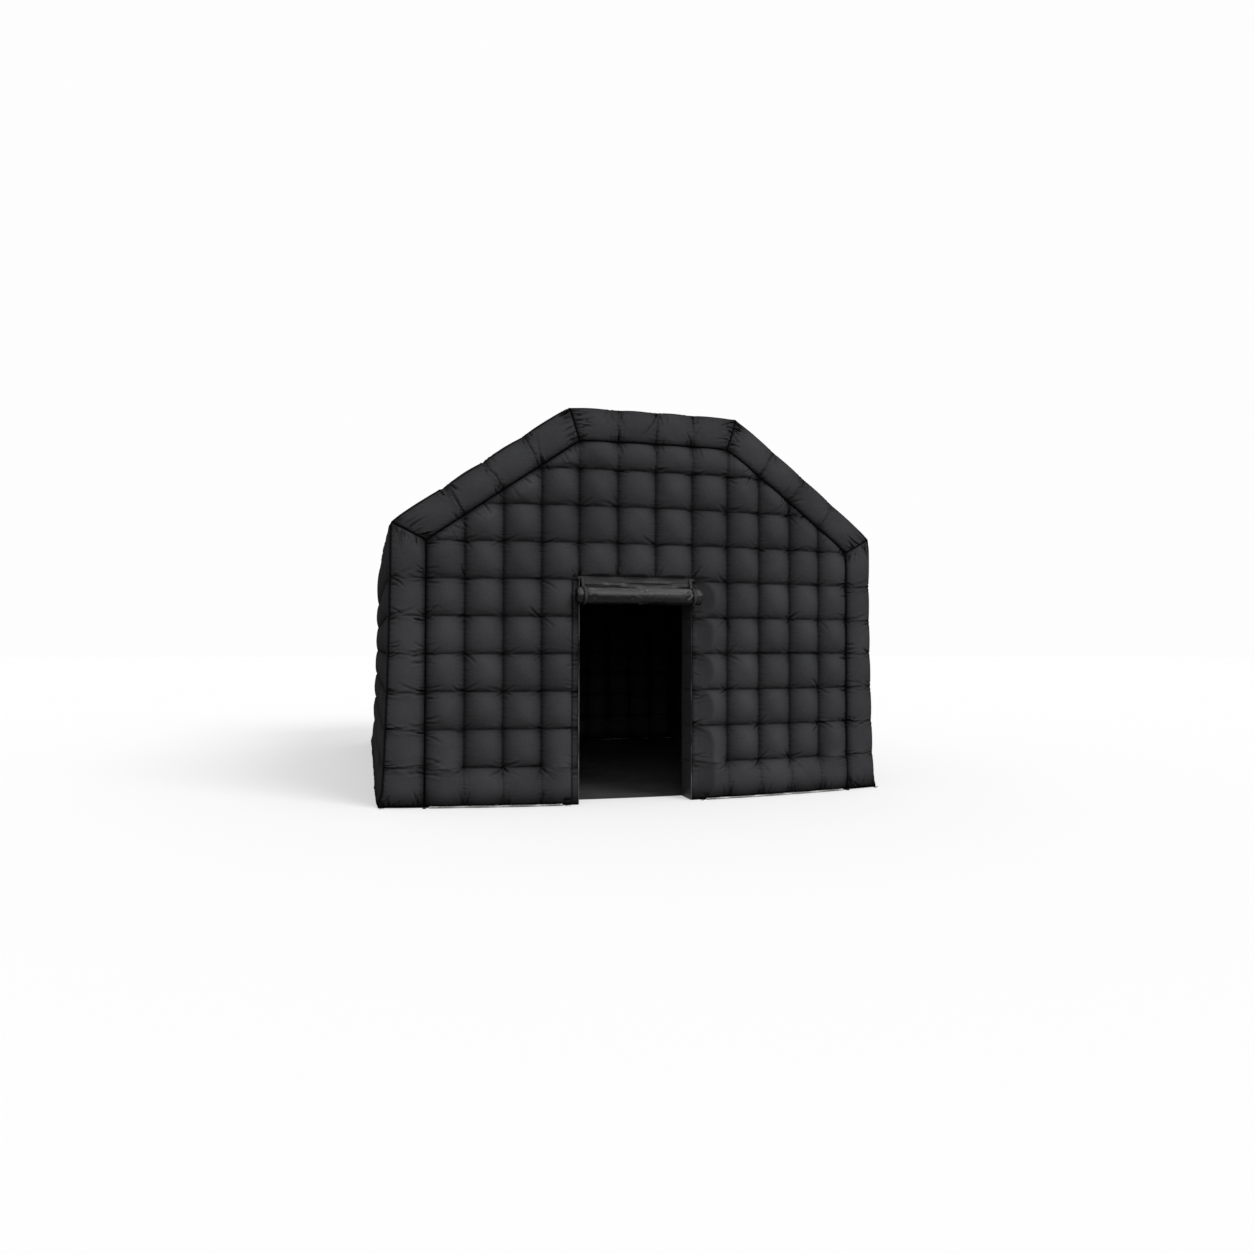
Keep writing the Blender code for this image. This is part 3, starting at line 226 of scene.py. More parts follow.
def layFloor():
    bm = bmesh.new()
    bmesh.ops.create_grid(bm, x_segments=1, y_segments=1, size=studio["floorReach"])
    floor = bpy.data.objects.new("studioFloor", meshFrom(bm, "studioFloor"))
    floor.location.z = -studio["floorDrop"]
    scene.collection.objects.link(floor)
    white, bounce = [studio["floor"]] * 3, [studio["floorBounce"]] * 3
    paint = Finish("studioFloor", white, Roughness=1.0, Specular_IOR_Level=0.0)
    seen = seenDirectly(paint.tree)
    paint.feed("Base Color", paint.mix(seen, bounce, white))
    glow = paint.node("ShaderNodeEmission", {"Strength": studio["white"]})
    matt = Value(paint.tree, paint.shader.outputs[0])
    mixed = paint.node("ShaderNodeMixShader", {0: seen * studio["shadowFade"], 1: matt, 2: glow})
    paint.tree.links.new(mixed.socket, paint.tree.nodes["Material Output"].inputs["Surface"])
    floor.data.materials.append(paint.material)


placeCamera()
lightRoom()
layFloor()
print("camera, light and floor ready")

# the tent's own sizes, as the frame has them

tent = {
    "columns": [0.350] * 4 + [0.372] * 4 + [0.350] * 4,
    "rows": [0.369] + [0.348] * 8 + [0.265],
    "eaveRows": 7,
    "band": 0.356,
    "back": 3.0,
    "depthCells": 16,
    "flare": 0.065,
    "bow": 0.30,
    "thick": 0.28,
    "door": (4, 7, 6),  # first column seam, last column seam, rows
    "gap": 0.0003,
}
half = sum(tent["columns"]) / 2
columnLines = np.concatenate(([0], np.cumsum(tent["columns"]))) - half
rowLines = np.concatenate(([0], np.cumsum(tent["rows"])))
eave, top = rowLines[tent["eaveRows"]], rowLines[-1]
topHalf = columnLines[8]
outerHalf = half + tent["band"]
gap = tent["gap"]
doorLeft, doorRight = columnLines[tent["door"][0]], columnLines[tent["door"][1]]
doorTop = rowLines[tent["door"][2]]
doorMiddle, doorHalf = (doorLeft + doorRight) / 2, (doorRight - doorLeft) / 2
corners = [np.array(p) for p in ((-half, 0), (-half, eave), (-topHalf, top), (topHalf, top),
                                 (half, eave), (half, 0))]
slopes = [(corners[1], corners[2]), (corners[3], corners[4])]


def frontFace(x):
    return -tent["back"] - tent["bow"] * (1 - (x / outerHalf) ** 2)


def frontLining(x):
    return frontFace(x) + tent["thick"]


def backFace(x):
    return tent["back"] + 0 * x


def backLining(x):
    return backFace(x) - tent["thick"]


def outward(start, end):
    run = (end - start) / np.linalg.norm(end - start)
    return np.array((-run[1], run[0]))


# forms

def meshOf(name, verts, faces):
    mesh = bpy.data.meshes.new(name)
    mesh.from_pydata(np.asarray(verts).tolist(), [], [list(map(int, f)) for f in faces])
    bm = bmesh.new()
    bm.from_mesh(mesh)
    bmesh.ops.recalc_face_normals(bm, faces=bm.faces)
    bm.to_mesh(mesh)
    bm.free()
    return mesh


def gridFaces(rows, columns, start=0):
    index = start + np.arange(rows * columns).reshape(rows, columns)
    quads = np.stack((index[:-1, :-1], index[1:, :-1], index[1:, 1:], index[:-1, 1:]), -1)
    return quads.reshape(-1, 4)


def slab(name, upper, under):
    # a closed sheet between two grids of points
    rows, columns = upper.shape[:2]
    count = rows * columns
    index = np.arange(count).reshape(rows, columns)
    rim = np.concatenate((index[:-1, 0], index[-1, :-1], index[:0:-1, -1], index[0, :0:-1]))
    after = np.roll(rim, -1)
    faces = np.concatenate((gridFaces(rows, columns), gridFaces(rows, columns, count)[:, ::-1],
                            np.stack((after, rim, rim + count, after + count), -1)))
    return meshOf(name, np.concatenate((upper.reshape(-1, 3), under.reshape(-1, 3))), faces)


webbing = {"strips": 6, "selvedge": 0.4}  # across it, and how much thinner its two edges are


def ribbon(name, path, side, width, thick):
    # webbing along a path
    path, side = np.array(path, float), np.array(side, float)
    run = np.gradient(path, axis=0)
    up = np.cross(run, side)
    up /= np.linalg.norm(up, axis=1, keepdims=True)
    place = np.linspace(-1, 1, webbing["strips"] + 1)
    middle = path[:, None] + (place * width / 2)[None, :, None] * side
    depth = up[:, None] * ((1 - webbing["selvedge"] * place ** 6) * thick / 2)[None, :, None]
    return slab(name, middle + depth, middle - depth)


def tube(name, rings):
    # a closed form through rings of points, with its two ends filled
    steps, count = rings.shape[:2]
    ring = np.arange(count)
    after = (ring + 1) % count
    start = (np.arange(steps - 1) * count)[:, None]
    quads = np.stack((start + ring, start + after, start + after + count, start + ring + count), -1)
    faces = quads.reshape(-1, 4).tolist() + [ring.tolist(), (ring + (steps - 1) * count).tolist()]
    return meshOf(name, rings.reshape(-1, 3), faces)


def addPiece(name, mesh, finish, sharp=None, body="tent", replaces=None):
    # a piece stands in for the frame's piece of its own name, unless others are named
    piece = bpy.data.objects.new(name, mesh)
    mesh.materials.clear()
    mesh.materials.append(finish.material)
    scene.collection.objects.link(piece)
    mesh.shade_smooth()
    if sharp:
        mesh.set_sharp_from_angle(angle=math.radians(sharp))
    if body:
        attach(piece, body)
    if replaces is None:
        replaces = ("".join("_" + c.lower() if c.isupper() else c for c in name),)
    if replaces:
        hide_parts(*replaces)
    return piece


waves = {"count": 7, "strength": (0.4, 1), "phase": (0, 6.3), "peak": 1.5}


def ripple(along, seed, longest, shortest):
    # folds of mixed width along a line, some strong and most faint
    draw = np.random.default_rng(seed)
    total = np.zeros_like(along)
    for length in np.geomspace(longest, shortest, waves["count"]):
        strength = draw.uniform(*waves["strength"])
        total += strength * np.sin(2 * np.pi * along / length + draw.uniform(*waves["phase"]))
    total /= 3
    return np.sign(total) * np.abs(total) ** waves["peak"]


def smooth(value):
    value = np.clip(value, 0, 1)
    return value * value * (3 - 2 * value)


def rising(value, least, reach):
    # from least at 0 to 1 at reach
    return least + (1 - least) * smooth(value / reach)


def arch(share, power):
    return np.maximum(0, 4 * share * (1 - share)) ** power


def grid(first, second):
    return np.meshgrid(first, second, indexing="ij")


def points(x, y, z):
    return np.stack(np.broadcast_arrays(x, y, z), -1)


def onBothSides(values):
    return np.tile(values.ravel(), 2)


# finishes of cloth

clothLook = {
    "slot": "wall_cloth",
    "colour": (0.0372, 0.0374, 0.0398),
    "dusty": (0.0570, 0.0573, 0.0602),
    "hollow": (0.0030, 0.0030, 0.0035),  # painted shade: the colour down in the seams, folds and tufts
    "roughness": 0.80,
    "shine": 0.0,  # a shinier cloth turns white along the tent's outline
    "weave": 0.0011,  # thread pitch
    "crinkle": 0.0035,
}
curtainLook = {
    "slot": "curtain_cloth",
    "colour": (0.056, 0.056, 0.057),
    "dusty": (0.092, 0.092, 0.093),
    # painted shade in the seams, folds and tufts, as on the walls
    "hollow": (0.0030, 0.0030, 0.0032),
    "roughness": 0.36,
    "shine": 0.13,
    "weave": 0.0009,
    "crinkle": 0.0030,
}
facingLook = {
    "slot": "facing_cloth",
    "colour": (0.030, 0.030, 0.032),
    "dusty": (0.050, 0.050, 0.053),
    # painted shade in the seams and folds, as on the walls
    "hollow": (0.0030, 0.0030, 0.0035),
    "roughness": 0.45,
    "shine": 0.16,
    "weave": 0.0011,
    "crinkle": 0.0020,
}
sheetLook = {
    "slot": "sheet_cloth",
    "colour": (0.046, 0.046, 0.047),
    "dusty": (0.084, 0.084, 0.083),
    "roughness": 0.55,
    "shine": 0.12,
    "weave": 0.0022,
    "crinkle": 0.0018,
}
weaveLook = {
    "dustPatches": 1.6,  # per metre
    "dustSpecks": 55,
    "dust": ((0.35, 0.0), (0.72, 1.0)),  # noise and share of dust at either end
    "roughnessSwing": 0.12,
    "crinkles": (14, 4, 0.55),  # noise scale, detail and roughness
    "puckers": (5, 5, 34),  # per metre, squeezed along the seams
    "slanted": (17, 17, 28),
    "puckerRise": 7.5,  # in crinkles
    "threadRise": 0.00012,
}


def paintCloth(name, look, seamed=False):
    paint = Finish(name, look["colour"], look["slot"], Roughness=look["roughness"],
                   Specular_IOR_Level=look["shine"])
    spot = paint.place()
    broad = paint.noise(spot, weaveLook["dustPatches"], 4)
    specks = paint.noise(spot, weaveLook["dustSpecks"], 3)
    dust = paint.tones(broad * 0.7 + specks * 0.3, *weaveLook["dust"])
    tone = paint.mix(dust, look["colour"], look["dusty"])
    swing = weaveLook["roughnessSwing"]
    paint.feed("Roughness", look["roughness"] - swing / 2 + broad * swing)
    x, y, z = paint.split(spot)
    beat = 2 * math.pi / look["weave"]
    weave = ((x + y) * beat).wave() * ((z + y * 0.5) * beat).wave()
    normal = paint.bump(paint.noise(spot, *weaveLook["crinkles"]), look["crinkle"] * 0.9, 0.55)
    if seamed:
        seams = paint.node("ShaderNodeAttribute", None, "Vector", attribute_name="seams")
        nearU, nearV, hollow = paint.split(seams)
        level, slanted = (paint.noise(paint.stretched(spot, weaveLook[kind]), 1.0, 3, 0.6)
                          for kind in ("puckers", "slanted"))
        pulled = level * (nearU + nearV * 0.8) + slanted * nearV * 0.5
        normal = paint.bump(pulled, look["crinkle"] * weaveLook["puckerRise"], 1.0, normal)
        # painted shade and light from the seam marks: darker in seams, creases and tufts, at the foot
        # and on undersides
        tone = paint.mix(hollow, tone, look["hollow"])
    paint.feed("Base Color", tone)
    paint.feed("Normal", paint.bump(weave, weaveLook["threadRise"], 0.5, normal))
    return paint


wallCloth = paintCloth("quiltedCloth", clothLook, True)
curtainCloth = paintCloth("curtainCloth", curtainLook, True)
facingCloth = paintCloth("facingCloth", facingLook, True)
sheetCloth = paintCloth("groundsheet", sheetLook)

webLook = {
    "black": (0.030, 0.030, 0.032),
    "pale": (0.80, 0.79, 0.77),
    "piping": (0.008, 0.008, 0.009),
    # the piping's lighter colour, in random patches along it
    "pipingLighter": (0.150, 0.150, 0.152),
    "rubbed": (1.25, 0.004),  # gain and lift of a colour where it is worn
    "wear": ((0.38, 0.0), (0.7, 1.0)),  # noise and share of wear at either end
    "roughness": (0.78, 0.16),  # of webbing, and how much it varies
    "pipingRoughness": 0.6,
    "patches": 30,  # per metre
    "pipingPatches": 3.2,
    "shine": 0.12,
    "ribs": 0.0024,
    "rise": 0.00035,
}


def paintWebbing(name, slot, colour, worn=None, roughness=webLook["roughness"][0],
                 patches=webLook["patches"]):
    gain, lift = webLook["rubbed"]
    worn = worn or [c * gain + lift for c in colour]
    paint = Finish(name, colour, slot, Roughness=roughness, Specular_IOR_Level=webLook["shine"])
    spot = paint.place()
    x, y, z = paint.split(spot)
    beat = 2 * math.pi / webLook["ribs"]
    ribs = ((x + y * 0.9 + z * 0.8) * beat).wave()
    threads = ((x - y * 0.9 - z * 0.7) * beat * 1.6).wave()
    wear = paint.tones(paint.noise(spot, patches, 4), *webLook["wear"])
    paint.feed("Base Color", paint.mix(wear, colour, worn))
    swing = webLook["roughness"][1]
    paint.feed("Roughness", roughness - swing / 2 + paint.noise(spot, 70, 2) * swing)
    paint.feed("Normal", paint.bump(ribs * 0.6 + threads * 0.4, webLook["rise"], 0.8))
    return paint


blackWebbing = paintWebbing("blackWebbing", "webbing", webLook["black"])
paleWebbing = paintWebbing("paleWebbing", "pale_webbing", webLook["pale"])
pipingCloth = paintWebbing("pipingCloth", "piping", webLook["piping"], webLook["pipingLighter"],
                           webLook["pipingRoughness"], webLook["pipingPatches"])

# quilted walls

quilt = {
    "puff": 0.118,
    "round": (0.95, 0.66),  # across and up; lower makes flatter cushions with steeper edges
    "shareU": 0.10,  # crown left on a column seam between two tufts
    "shareV": 0.26,  # and on a row seam
    "rimShare": 0.35,  # crown left on a seam where it runs out at a sewn edge
    "footShare": 0.70,  # crown left on column seams in the bottom row
    "fullness": (0.92, 1.04),
    "slack": 0.0045,  # slow unevenness of the cloth
    "pull": (0.032, 0.038),  # reach of a column seam's puckers and of a row seam's
    "rim": 0.16,  # strip in which the cloth comes down to a roof slope
    "footRise": (0.0004, 0.38, 0.02, 6),  # start, slope, and the height from which it is steeper
    "flange": (0.062, 0.034, 0.012),  # wall kept flat beside and above the door, and how proud
    "doorRise": (3.2, 0.45, 2.2, 5),  # how steeply it leaves that: left, right twice, and above
    "ringRoom": (0.110, 0.034, 0.060, 0.034),  # beside the door, half width, height and depth left
    "blunt": (250, 130, 160),  # sharpness of the bend at the foot, the door and the rings
    "snap": 0.0015,  # grid points this near a roof slope are moved onto it
    "flatCells": ((9, 0), (2, 1)),  # column and row, behind the sleeve and the zip
    "steps": 32,
    "backSteps": 14,
    "liningSteps": 8,
}
fold = {
    "tuft": (3, 0.45, 0.012),  # how many creases, spread of their headings and of their starts
    "low": (3, 0.22, 0.008),  # down from the tufts over the bottom row
    "lowHeadings": (-0.9, -2.2),
    "rowEnd": (8, 0.16, 0.045),
    "columnEnd": (4, 0.16, 0.040),
    "slope": (2, 0.35, 0.03),
    "slopeCount": 12,
    "lintel": (4, 0.5, 0.015),
    "doorSide": (8, 0.16, 0.06),
    "mitre": (2, 0.4, 0.02),
    "strength": (0.4, 1.2),
    "length": (0.060, 0.180),
    "width": (0.010, 0.021),
    "widen": 0.8,  # towards its far end
    "depth": (0.0055, 0.0170),
    "peak": 2.6,
    "bend": (-2.5, 2.5),
    "calm": 0.85,  # how much is left of them in the middle of a wall
}
# painted shade and light, carried in the cloth's colour
shade = {
    "deep": 0.30,  # part of a cushion's height at which a seam's painted shade has mostly faded
    "most": 0.95,
    "tuft": 0.62,
    "crease": (1.9, 0.80),  # how fast painted shade darkens a crease, and the most it may
    "foot": (0.10, 0.30),  # light left at the ground, and the height from which it is whole
    "line": 0.015,  # half width of the painted shade along the sewn line left of the door
    "border": (0.4, 0.055),  # light left at a wall's outer seam, and its reach
    "flat": 0.7,  # light on the cells behind the zip and the sleeve
    "band": (0.25, 0.085),  # light left at the chambers' inner seam, and its reach
    "cloth": 0.55,  # strength of the painted light and shade on the curtain
    "lean": 0.45,  # how far a side may turn down and still get painted light
    # the most painted light a top side gets
    "paintedLightMost": 1.2,
}


def cellsOf(lines, position):
    cell = np.clip(np.searchsorted(lines, position, side="right") - 1, 0, len(lines) - 2)
    return cell + np.clip((position - lines[cell]) / (lines[cell + 1] - lines[cell]), 0, 1)


def seamShares(nu, nv, merged):
    # crown kept on each stretch of column seam and of row seam
    onU = np.full((nu + 1, nv), quilt["shareU"])
    onV = np.full((nu, nv + 1), quilt["shareV"])
    onU[:, [0, -1]] = quilt["rimShare"]
    onV[[0, -1], :] = quilt["rimShare"]
    for kind, i, j, share in merged:
        (onU if kind == "U" else onV)[i, j] = share
    return onU, onV


def addFold(height, u, v, start, angle, length, width, depth, bend):
    # one crease: a valley between two low ridges, strongest near its start on a seam
    du, dv = u - start[0], v - start[1]
    near = (np.abs(du) < length) & (np.abs(dv) < length)
    if not near.any():
        return
    du, dv = du[near], dv[near]
    along = du * math.cos(angle) + dv * math.sin(angle)
    across = dv * math.cos(angle) - du * math.sin(angle) + bend * along ** 2
    share = np.clip(along / length, 0, 1)
    fade = np.sqrt(share) * (1 - share) * fold["peak"]
    across = across / (width * (1 + fold["widen"] * share))
    height[near] -= depth * fade * np.cos(np.pi * np.clip(across, -1.5, 1.5)) * np.exp(-across ** 2)


def foldsAt(height, u, v, draw, kind, start, heading, strength):
    # several creases that leave a seam near one spot, mostly one way
    count, spread, jitter = fold[kind]
    for _ in range(count):
        spot = (start[0] + draw.normal(0, jitter) * abs(math.sin(heading)),
                start[1] + draw.normal(0, jitter) * abs(math.cos(heading)))
        addFold(height, u, v, spot, heading + draw.normal(0, spread), draw.uniform(*fold["length"]),
                draw.uniform(*fold["width"]), strength * draw.uniform(*fold["depth"]),
                draw.uniform(*fold["bend"]))


def creaseCells(height, uLines, vLines, u, v, draw, fine):
    # creases at the tufts and where the seams run out
    nu, nv = len(uLines) - 1, len(vLines) - 1
    for i in range(1, nu):
        for j in range(1, nv):
            tuft = (uLines[i], vLines[j])
            edge = i in (1, nu - 1) or j in (1, nv - 1)
            strength = fine * (1 if edge else fold["calm"]) * draw.uniform(*fold["strength"])
            for heading in (0, math.pi):
                foldsAt(height, u, v, draw, "tuft", tuft, heading, strength)
            if j == 1:
                for heading in fold["lowHeadings"]:
                    foldsAt(height, u, v, draw, "low", tuft, heading, strength)
    for j in range(1, nv):
        for place, heading in ((uLines[0], 0), (uLines[-1], math.pi)):
            foldsAt(height, u, v, draw, "rowEnd", (place, vLines[j]), heading, fine)
    for i in range(1, nu):
        for place, heading in ((vLines[0], math.pi / 2), (vLines[-1], -math.pi / 2)):
            foldsAt(height, u, v, draw, "columnEnd", (uLines[i], place), heading, fine)


def quiltHeight(uLines, vLines, u, v, seed, fine=1.0, merged=(), puff=quilt["puff"],
                rounding=quilt["round"]):
    # height of the cloth at places u, v in metres, and how near each is to either kind of seam
    uLines, vLines = np.asarray(uLines), np.asarray(vLines)
    cu, cv = cellsOf(uLines, u), cellsOf(vLines, v)
    nu, nv = len(uLines) - 1, len(vLines) - 1
    iu, iv = np.minimum(cu.astype(int), nu - 1), np.minimum(cv.astype(int), nv - 1)
    fu, fv = cu - iu, cv - iv
    riseU, riseV = arch(fu, rounding[0]), arch(fv, rounding[1])
    onU, onV = seamShares(nu, nv, merged)
    keepU, keepV = onU[iu + (fu > 0.5), iv], onV[iu, iv + (fv > 0.5)]
    height = riseU * riseV + (1 - riseU) * riseV * keepU + (1 - riseV) * riseU * keepV
    draw = np.random.default_rng(seed)
    fullness = draw.uniform(*quilt["fullness"], (nu, nv))[iu, iv]
    height = height * puff * (1 + (fullness - 1) * riseU * riseV)
    slack = quilt["slack"] * riseU * riseV
    height += slack * ripple(u * 0.8 + v * 0.6, seed + 3, 2.4, 0.2)
    height += slack * ripple(v * 0.8 - u * 0.6, seed + 4, 2.0, 0.2)
    creaseCells(height, uLines, vLines, u, v, draw, fine)
    toU = np.minimum(fu, 1 - fu) * np.mean(np.diff(uLines))
    toV = np.minimum(fv, 1 - fv) * np.mean(np.diff(vLines))
    return height, np.exp(-toU / quilt["pull"][0]), np.exp(-toV / quilt["pull"][1])


def settle(height, distance, reach):
    # brings the cloth down to a sewn line in a round curve
    share = np.clip(distance / reach, 0, 1)
    return height * np.sqrt(1 - (1 - share) ** 2)


def readAll(items, key, width, kind=np.float32):
    data = np.empty(len(items) * width, kind)
    items.foreach_get(key, data)
    return data.reshape(-1, width)


def creases(mesh):
    # how deep each point lies between its neighbours
    spots, normals = readAll(mesh.vertices, "co", 3), readAll(mesh.vertices, "normal", 3)
    a, b = readAll(mesh.edges, "vertices", 2, np.int32).T
    run = spots[b] - spots[a]
    length = np.linalg.norm(run, axis=1) + 1e-6
    depth, number = np.zeros(len(spots)), np.zeros(len(spots))
    for here, way in ((a, 1), (b, -1)):
        np.add.at(depth, here, way * (run * normals[here]).sum(1) / length)
        np.add.at(number, here, 1)
    depth /= np.maximum(number, 1)
    spread = depth.copy()
    for here, there in ((a, b), (b, a)):
        np.add.at(spread, here, depth[there])
    return spread / (number + 1)


def paintedTopLight(mesh, gain, floor):
    # painted light and shade: top sides lighter and undersides darker
    up = readAll(mesh.vertices, "normal", 3)[:, 2]
    return shade["cloth"] * np.clip(floor + gain * (up + shade["lean"]), 0, shade["paintedLightMost"])


def markSeamsAndShade(mesh, nearU, nearV, fullness, creased=1):
    # what the cloth's finish reads: how near each point is to a seam, and its painted shade, darker the
    # deeper it lies, in creases and at tufts
    # painted shade: darker low between cushions, then in creases, then at the tufts
    hollow = shade["most"] * np.exp(-np.maximum(fullness, 0) / shade["deep"])
    gain, most = shade["crease"]
    hollow = hollow + (1 - hollow) * np.clip(creases(mesh) * gain * creased, 0, most)
    hollow = hollow + (1 - hollow) * shade["tuft"] * np.sqrt(np.multiply(nearU, nearV))
    layer = mesh.color_attributes.new("seams", "FLOAT_COLOR", "POINT")
    data = np.zeros((len(mesh.vertices), 4), np.float32)
    data[:, 0], data[:, 1], data[:, 2], data[:, 3] = nearU, nearV, hollow, 1
    layer.data.foreach_set("color", data.ravel())


def cutGrid(steps, xs, zs, hole):
    # a flat grid over the wall's cells, with its door and its roof corners cut away
    xs, zs = [np.concatenate([np.linspace(a, b, steps, endpoint=False)
                              for a, b in zip(line, line[1:])] + [line[-1:]]) for line in (xs, zs)]
    bm = bmesh.new()
    made = [[bm.verts.new((x, 0, z)) for z in zs] for x in xs]
    for i in range(len(xs) - 1):
        for j in range(len(zs) - 1):
            x, z = (xs[i] + xs[i + 1]) / 2, (zs[j] + zs[j + 1]) / 2
            if hole and doorLeft < x < doorRight and z < doorTop:
                continue
            bm.faces.new((made[i][j], made[i + 1][j], made[i + 1][j + 1], made[i][j + 1]))
    for low, high in slopes:
        normal = outward(low, high)
        edge = low - normal * gap
        bmesh.ops.bisect_plane(bm, geom=bm.verts[:] + bm.edges[:] + bm.faces[:], dist=quilt["snap"],
                               plane_co=(edge[0], 0, edge[1]), plane_no=(normal[0], 0, normal[1]),
                               clear_outer=True)
    bmesh.ops.delete(bm, geom=[v for v in bm.verts if not v.link_faces], context="VERTS")
    bm.verts.index_update()
    return bm


def keptUnder(height, limit, blunt):
    # the lower of the two, with a round bend where they meet
    return -np.logaddexp(-blunt * height, -blunt * limit) / blunt


def atFoot(height, z):
    # the wall comes in to its foot
    start, slope, low, steep = quilt["footRise"]
    return keptUnder(height, start + slope * z + steep * np.maximum(0, z - low), quilt["blunt"][0])


def besideDoor(height, x, z):
    # it lies flat beside the door and behind the curtain
    beside, above, proud = quilt["flange"]
    left, right, further, up = quilt["doorRise"]
    past = np.maximum(0, np.abs(x - doorMiddle) - doorHalf - beside)
    rise = np.where(x < doorMiddle, left * past, right * past + further * past ** 2)
    limit = proud + rise + up * np.maximum(0, z - doorTop - above)
    return keptUnder(height, limit, quilt["blunt"][1])


def clearOfRings(height, x, z):
    # and leaves room at its foot for the two rings that swing there
    beside, reach, high, proud = quilt["ringRoom"]
    aside = np.abs(np.abs(x - doorMiddle) - doorHalf - beside) - reach
    room = proud + 3 * np.maximum(0, aside) + 3 * np.maximum(0, z - high)
    return keptUnder(height, room, quilt["blunt"][2])


def insideSlope(x, z, low, high):
    # distance from a roof slope's seam
    normal = outward(low, high)
    return -((x - low[0]) * normal[0] + (z - low[1]) * normal[1])


def paintedLightOn(x, z, hole):
    # painted shade: darker at the foot, along the outer seams and on the line left of the door
    light = rising(z, *shade["foot"])
    if hole:
        line = doorLeft - quilt["flange"][0] - 0.006
        light = light * (1 - np.exp(-((x - line) / shade["line"]) ** 2) * (z < doorTop))
    border = np.minimum(half - np.abs(x), top - z)
    for low, high in slopes:
        border = np.minimum(border, insideSlope(x, z, low, high))
    return light * rising(border, *shade["border"])


def quiltedSkin(steps, hole, face, out, seed, fine, lining=None, merged=(), flats=()):
    # one skin of an end wall; an outer one has its edges turned in to the lining
    xs, zs = columnLines.copy(), rowLines.copy()
    xs[0] += gap
    xs[-1] -= gap
    zs[-1] -= gap
    bm = cutGrid(steps, xs, zs, hole)
    kept = list(bm.verts)
    x = np.array([v.co.x for v in kept])
    z = np.array([v.co.z for v in kept])
    edge = np.array([v.is_boundary for v in kept])
    height, nearU, nearV = quiltHeight(xs, zs, x, z, seed, fine, merged)
    draw = np.random.default_rng(seed + 7)
    for low, high in slopes:
        normal = outward(low, high)
        height = settle(height, insideSlope(x, z, low, high), quilt["rim"])
        for share in np.linspace(0.06, 0.94, fold["slopeCount"]):
            foldsAt(height, x, z, draw, "slope", low * (1 - share) + high * share,
                    math.atan2(-normal[1], -normal[0]), fine)
    if hole:
        for column in range(tent["door"][0], tent["door"][1] + 1):
            foldsAt(height, x, z, draw, "lintel", (columnLines[column], doorTop + 0.02), math.pi / 2,
                    fine)
    flat = np.zeros_like(height)
    for column, row in flats:
        inside = np.minimum(np.minimum(x - xs[column], xs[column + 1] - x),
                            np.minimum(z - zs[row], zs[row + 1] - z))
        flat = np.maximum(flat, smooth(inside / 0.02 + 1))
    height *= 1 - flat
    height[edge] = 0
    height = atFoot(height, z)
    lifted = height
    if hole:
        lifted = besideDoor(height, x, z)
        for row in range(1, tent["door"][2]):
            for place, heading in ((doorLeft, math.pi), (doorRight, 0)):
                foldsAt(lifted, x, z, draw, "doorSide", (place, rowLines[row]), heading, 0.75 * fine)
        lifted = clearOfRings(lifted, x, z)
        lifted[edge] = 0
    for vert, y in zip(kept, face(x) + out * lifted):
        vert.co.y = y
    if lining:
        turned = bmesh.ops.extrude_edge_only(bm, edges=[e for e in bm.edges if e.is_boundary])
        for vert in turned["geom"]:
            if isinstance(vert, bmesh.types.BMVert):
                vert.co.y = lining(vert.co.x)
    bm.verts.index_update()
    marks = np.zeros((3, len(bm.verts)))
    # painted shade through the seam marks: darker low in the seams, at the foot, by the outer seams and
    # left of the door
    fullness = np.maximum(height / quilt["puff"] * paintedLightOn(x, z, hole), shade["flat"] * flat)
    marks[:, [v.index for v in kept]] = nearU, nearV, fullness
    bmesh.ops.recalc_face_normals(bm, faces=bm.faces)
    if sum(f.normal.y * f.calc_area() for f in bm.faces) * out < 0:
        bmesh.ops.reverse_faces(bm, faces=bm.faces)
    mesh = meshFrom(bm, "skin")
    markSeamsAndShade(mesh, *marks)
    return mesh


def joined(meshes):
    # several skins as one mesh, with their seam marks
    things = [bpy.data.objects.new("part", m) for m in meshes]
    for thing in things:
        scene.collection.objects.link(thing)
    with bpy.context.temp_override(active_object=things[0], selected_editable_objects=things):
        bpy.ops.object.join()
    mesh = things[0].data
    bpy.data.objects.remove(things[0])
    return mesh


def buildFront():
    merged = [("V", i, 1, 1) for i in (0, 3, 7, 11)]  # row seams left out beside the border and door
    merged += [("U", i, 0, quilt["footShare"]) for i in range(1, 12)]
    outer = quiltedSkin(quilt["steps"], True, frontFace, -1, 11, 1.0, frontLining, merged)
    inner = quiltedSkin(quilt["liningSteps"], True, frontLining, 1, 12, 0.5)
    front = addPiece("frontWall", joined([outer, inner]), wallCloth,
                     replaces=("front_left_panel", "front_header_panel", "front_right_panel"))


def buildBack():
    merged = [("U", i, 0, quilt["footShare"]) for i in range(1, 12)]
    outer = quiltedSkin(quilt["backSteps"], False, backFace, 1, 21, 1.0, backLining, merged,
                        quilt["flatCells"])
    inner = quiltedSkin(quilt["liningSteps"], False, backLining, -1, 22, 0.8)
    addPiece("backWall", joined([outer, inner]), wallCloth)


# frame chambers round the walls

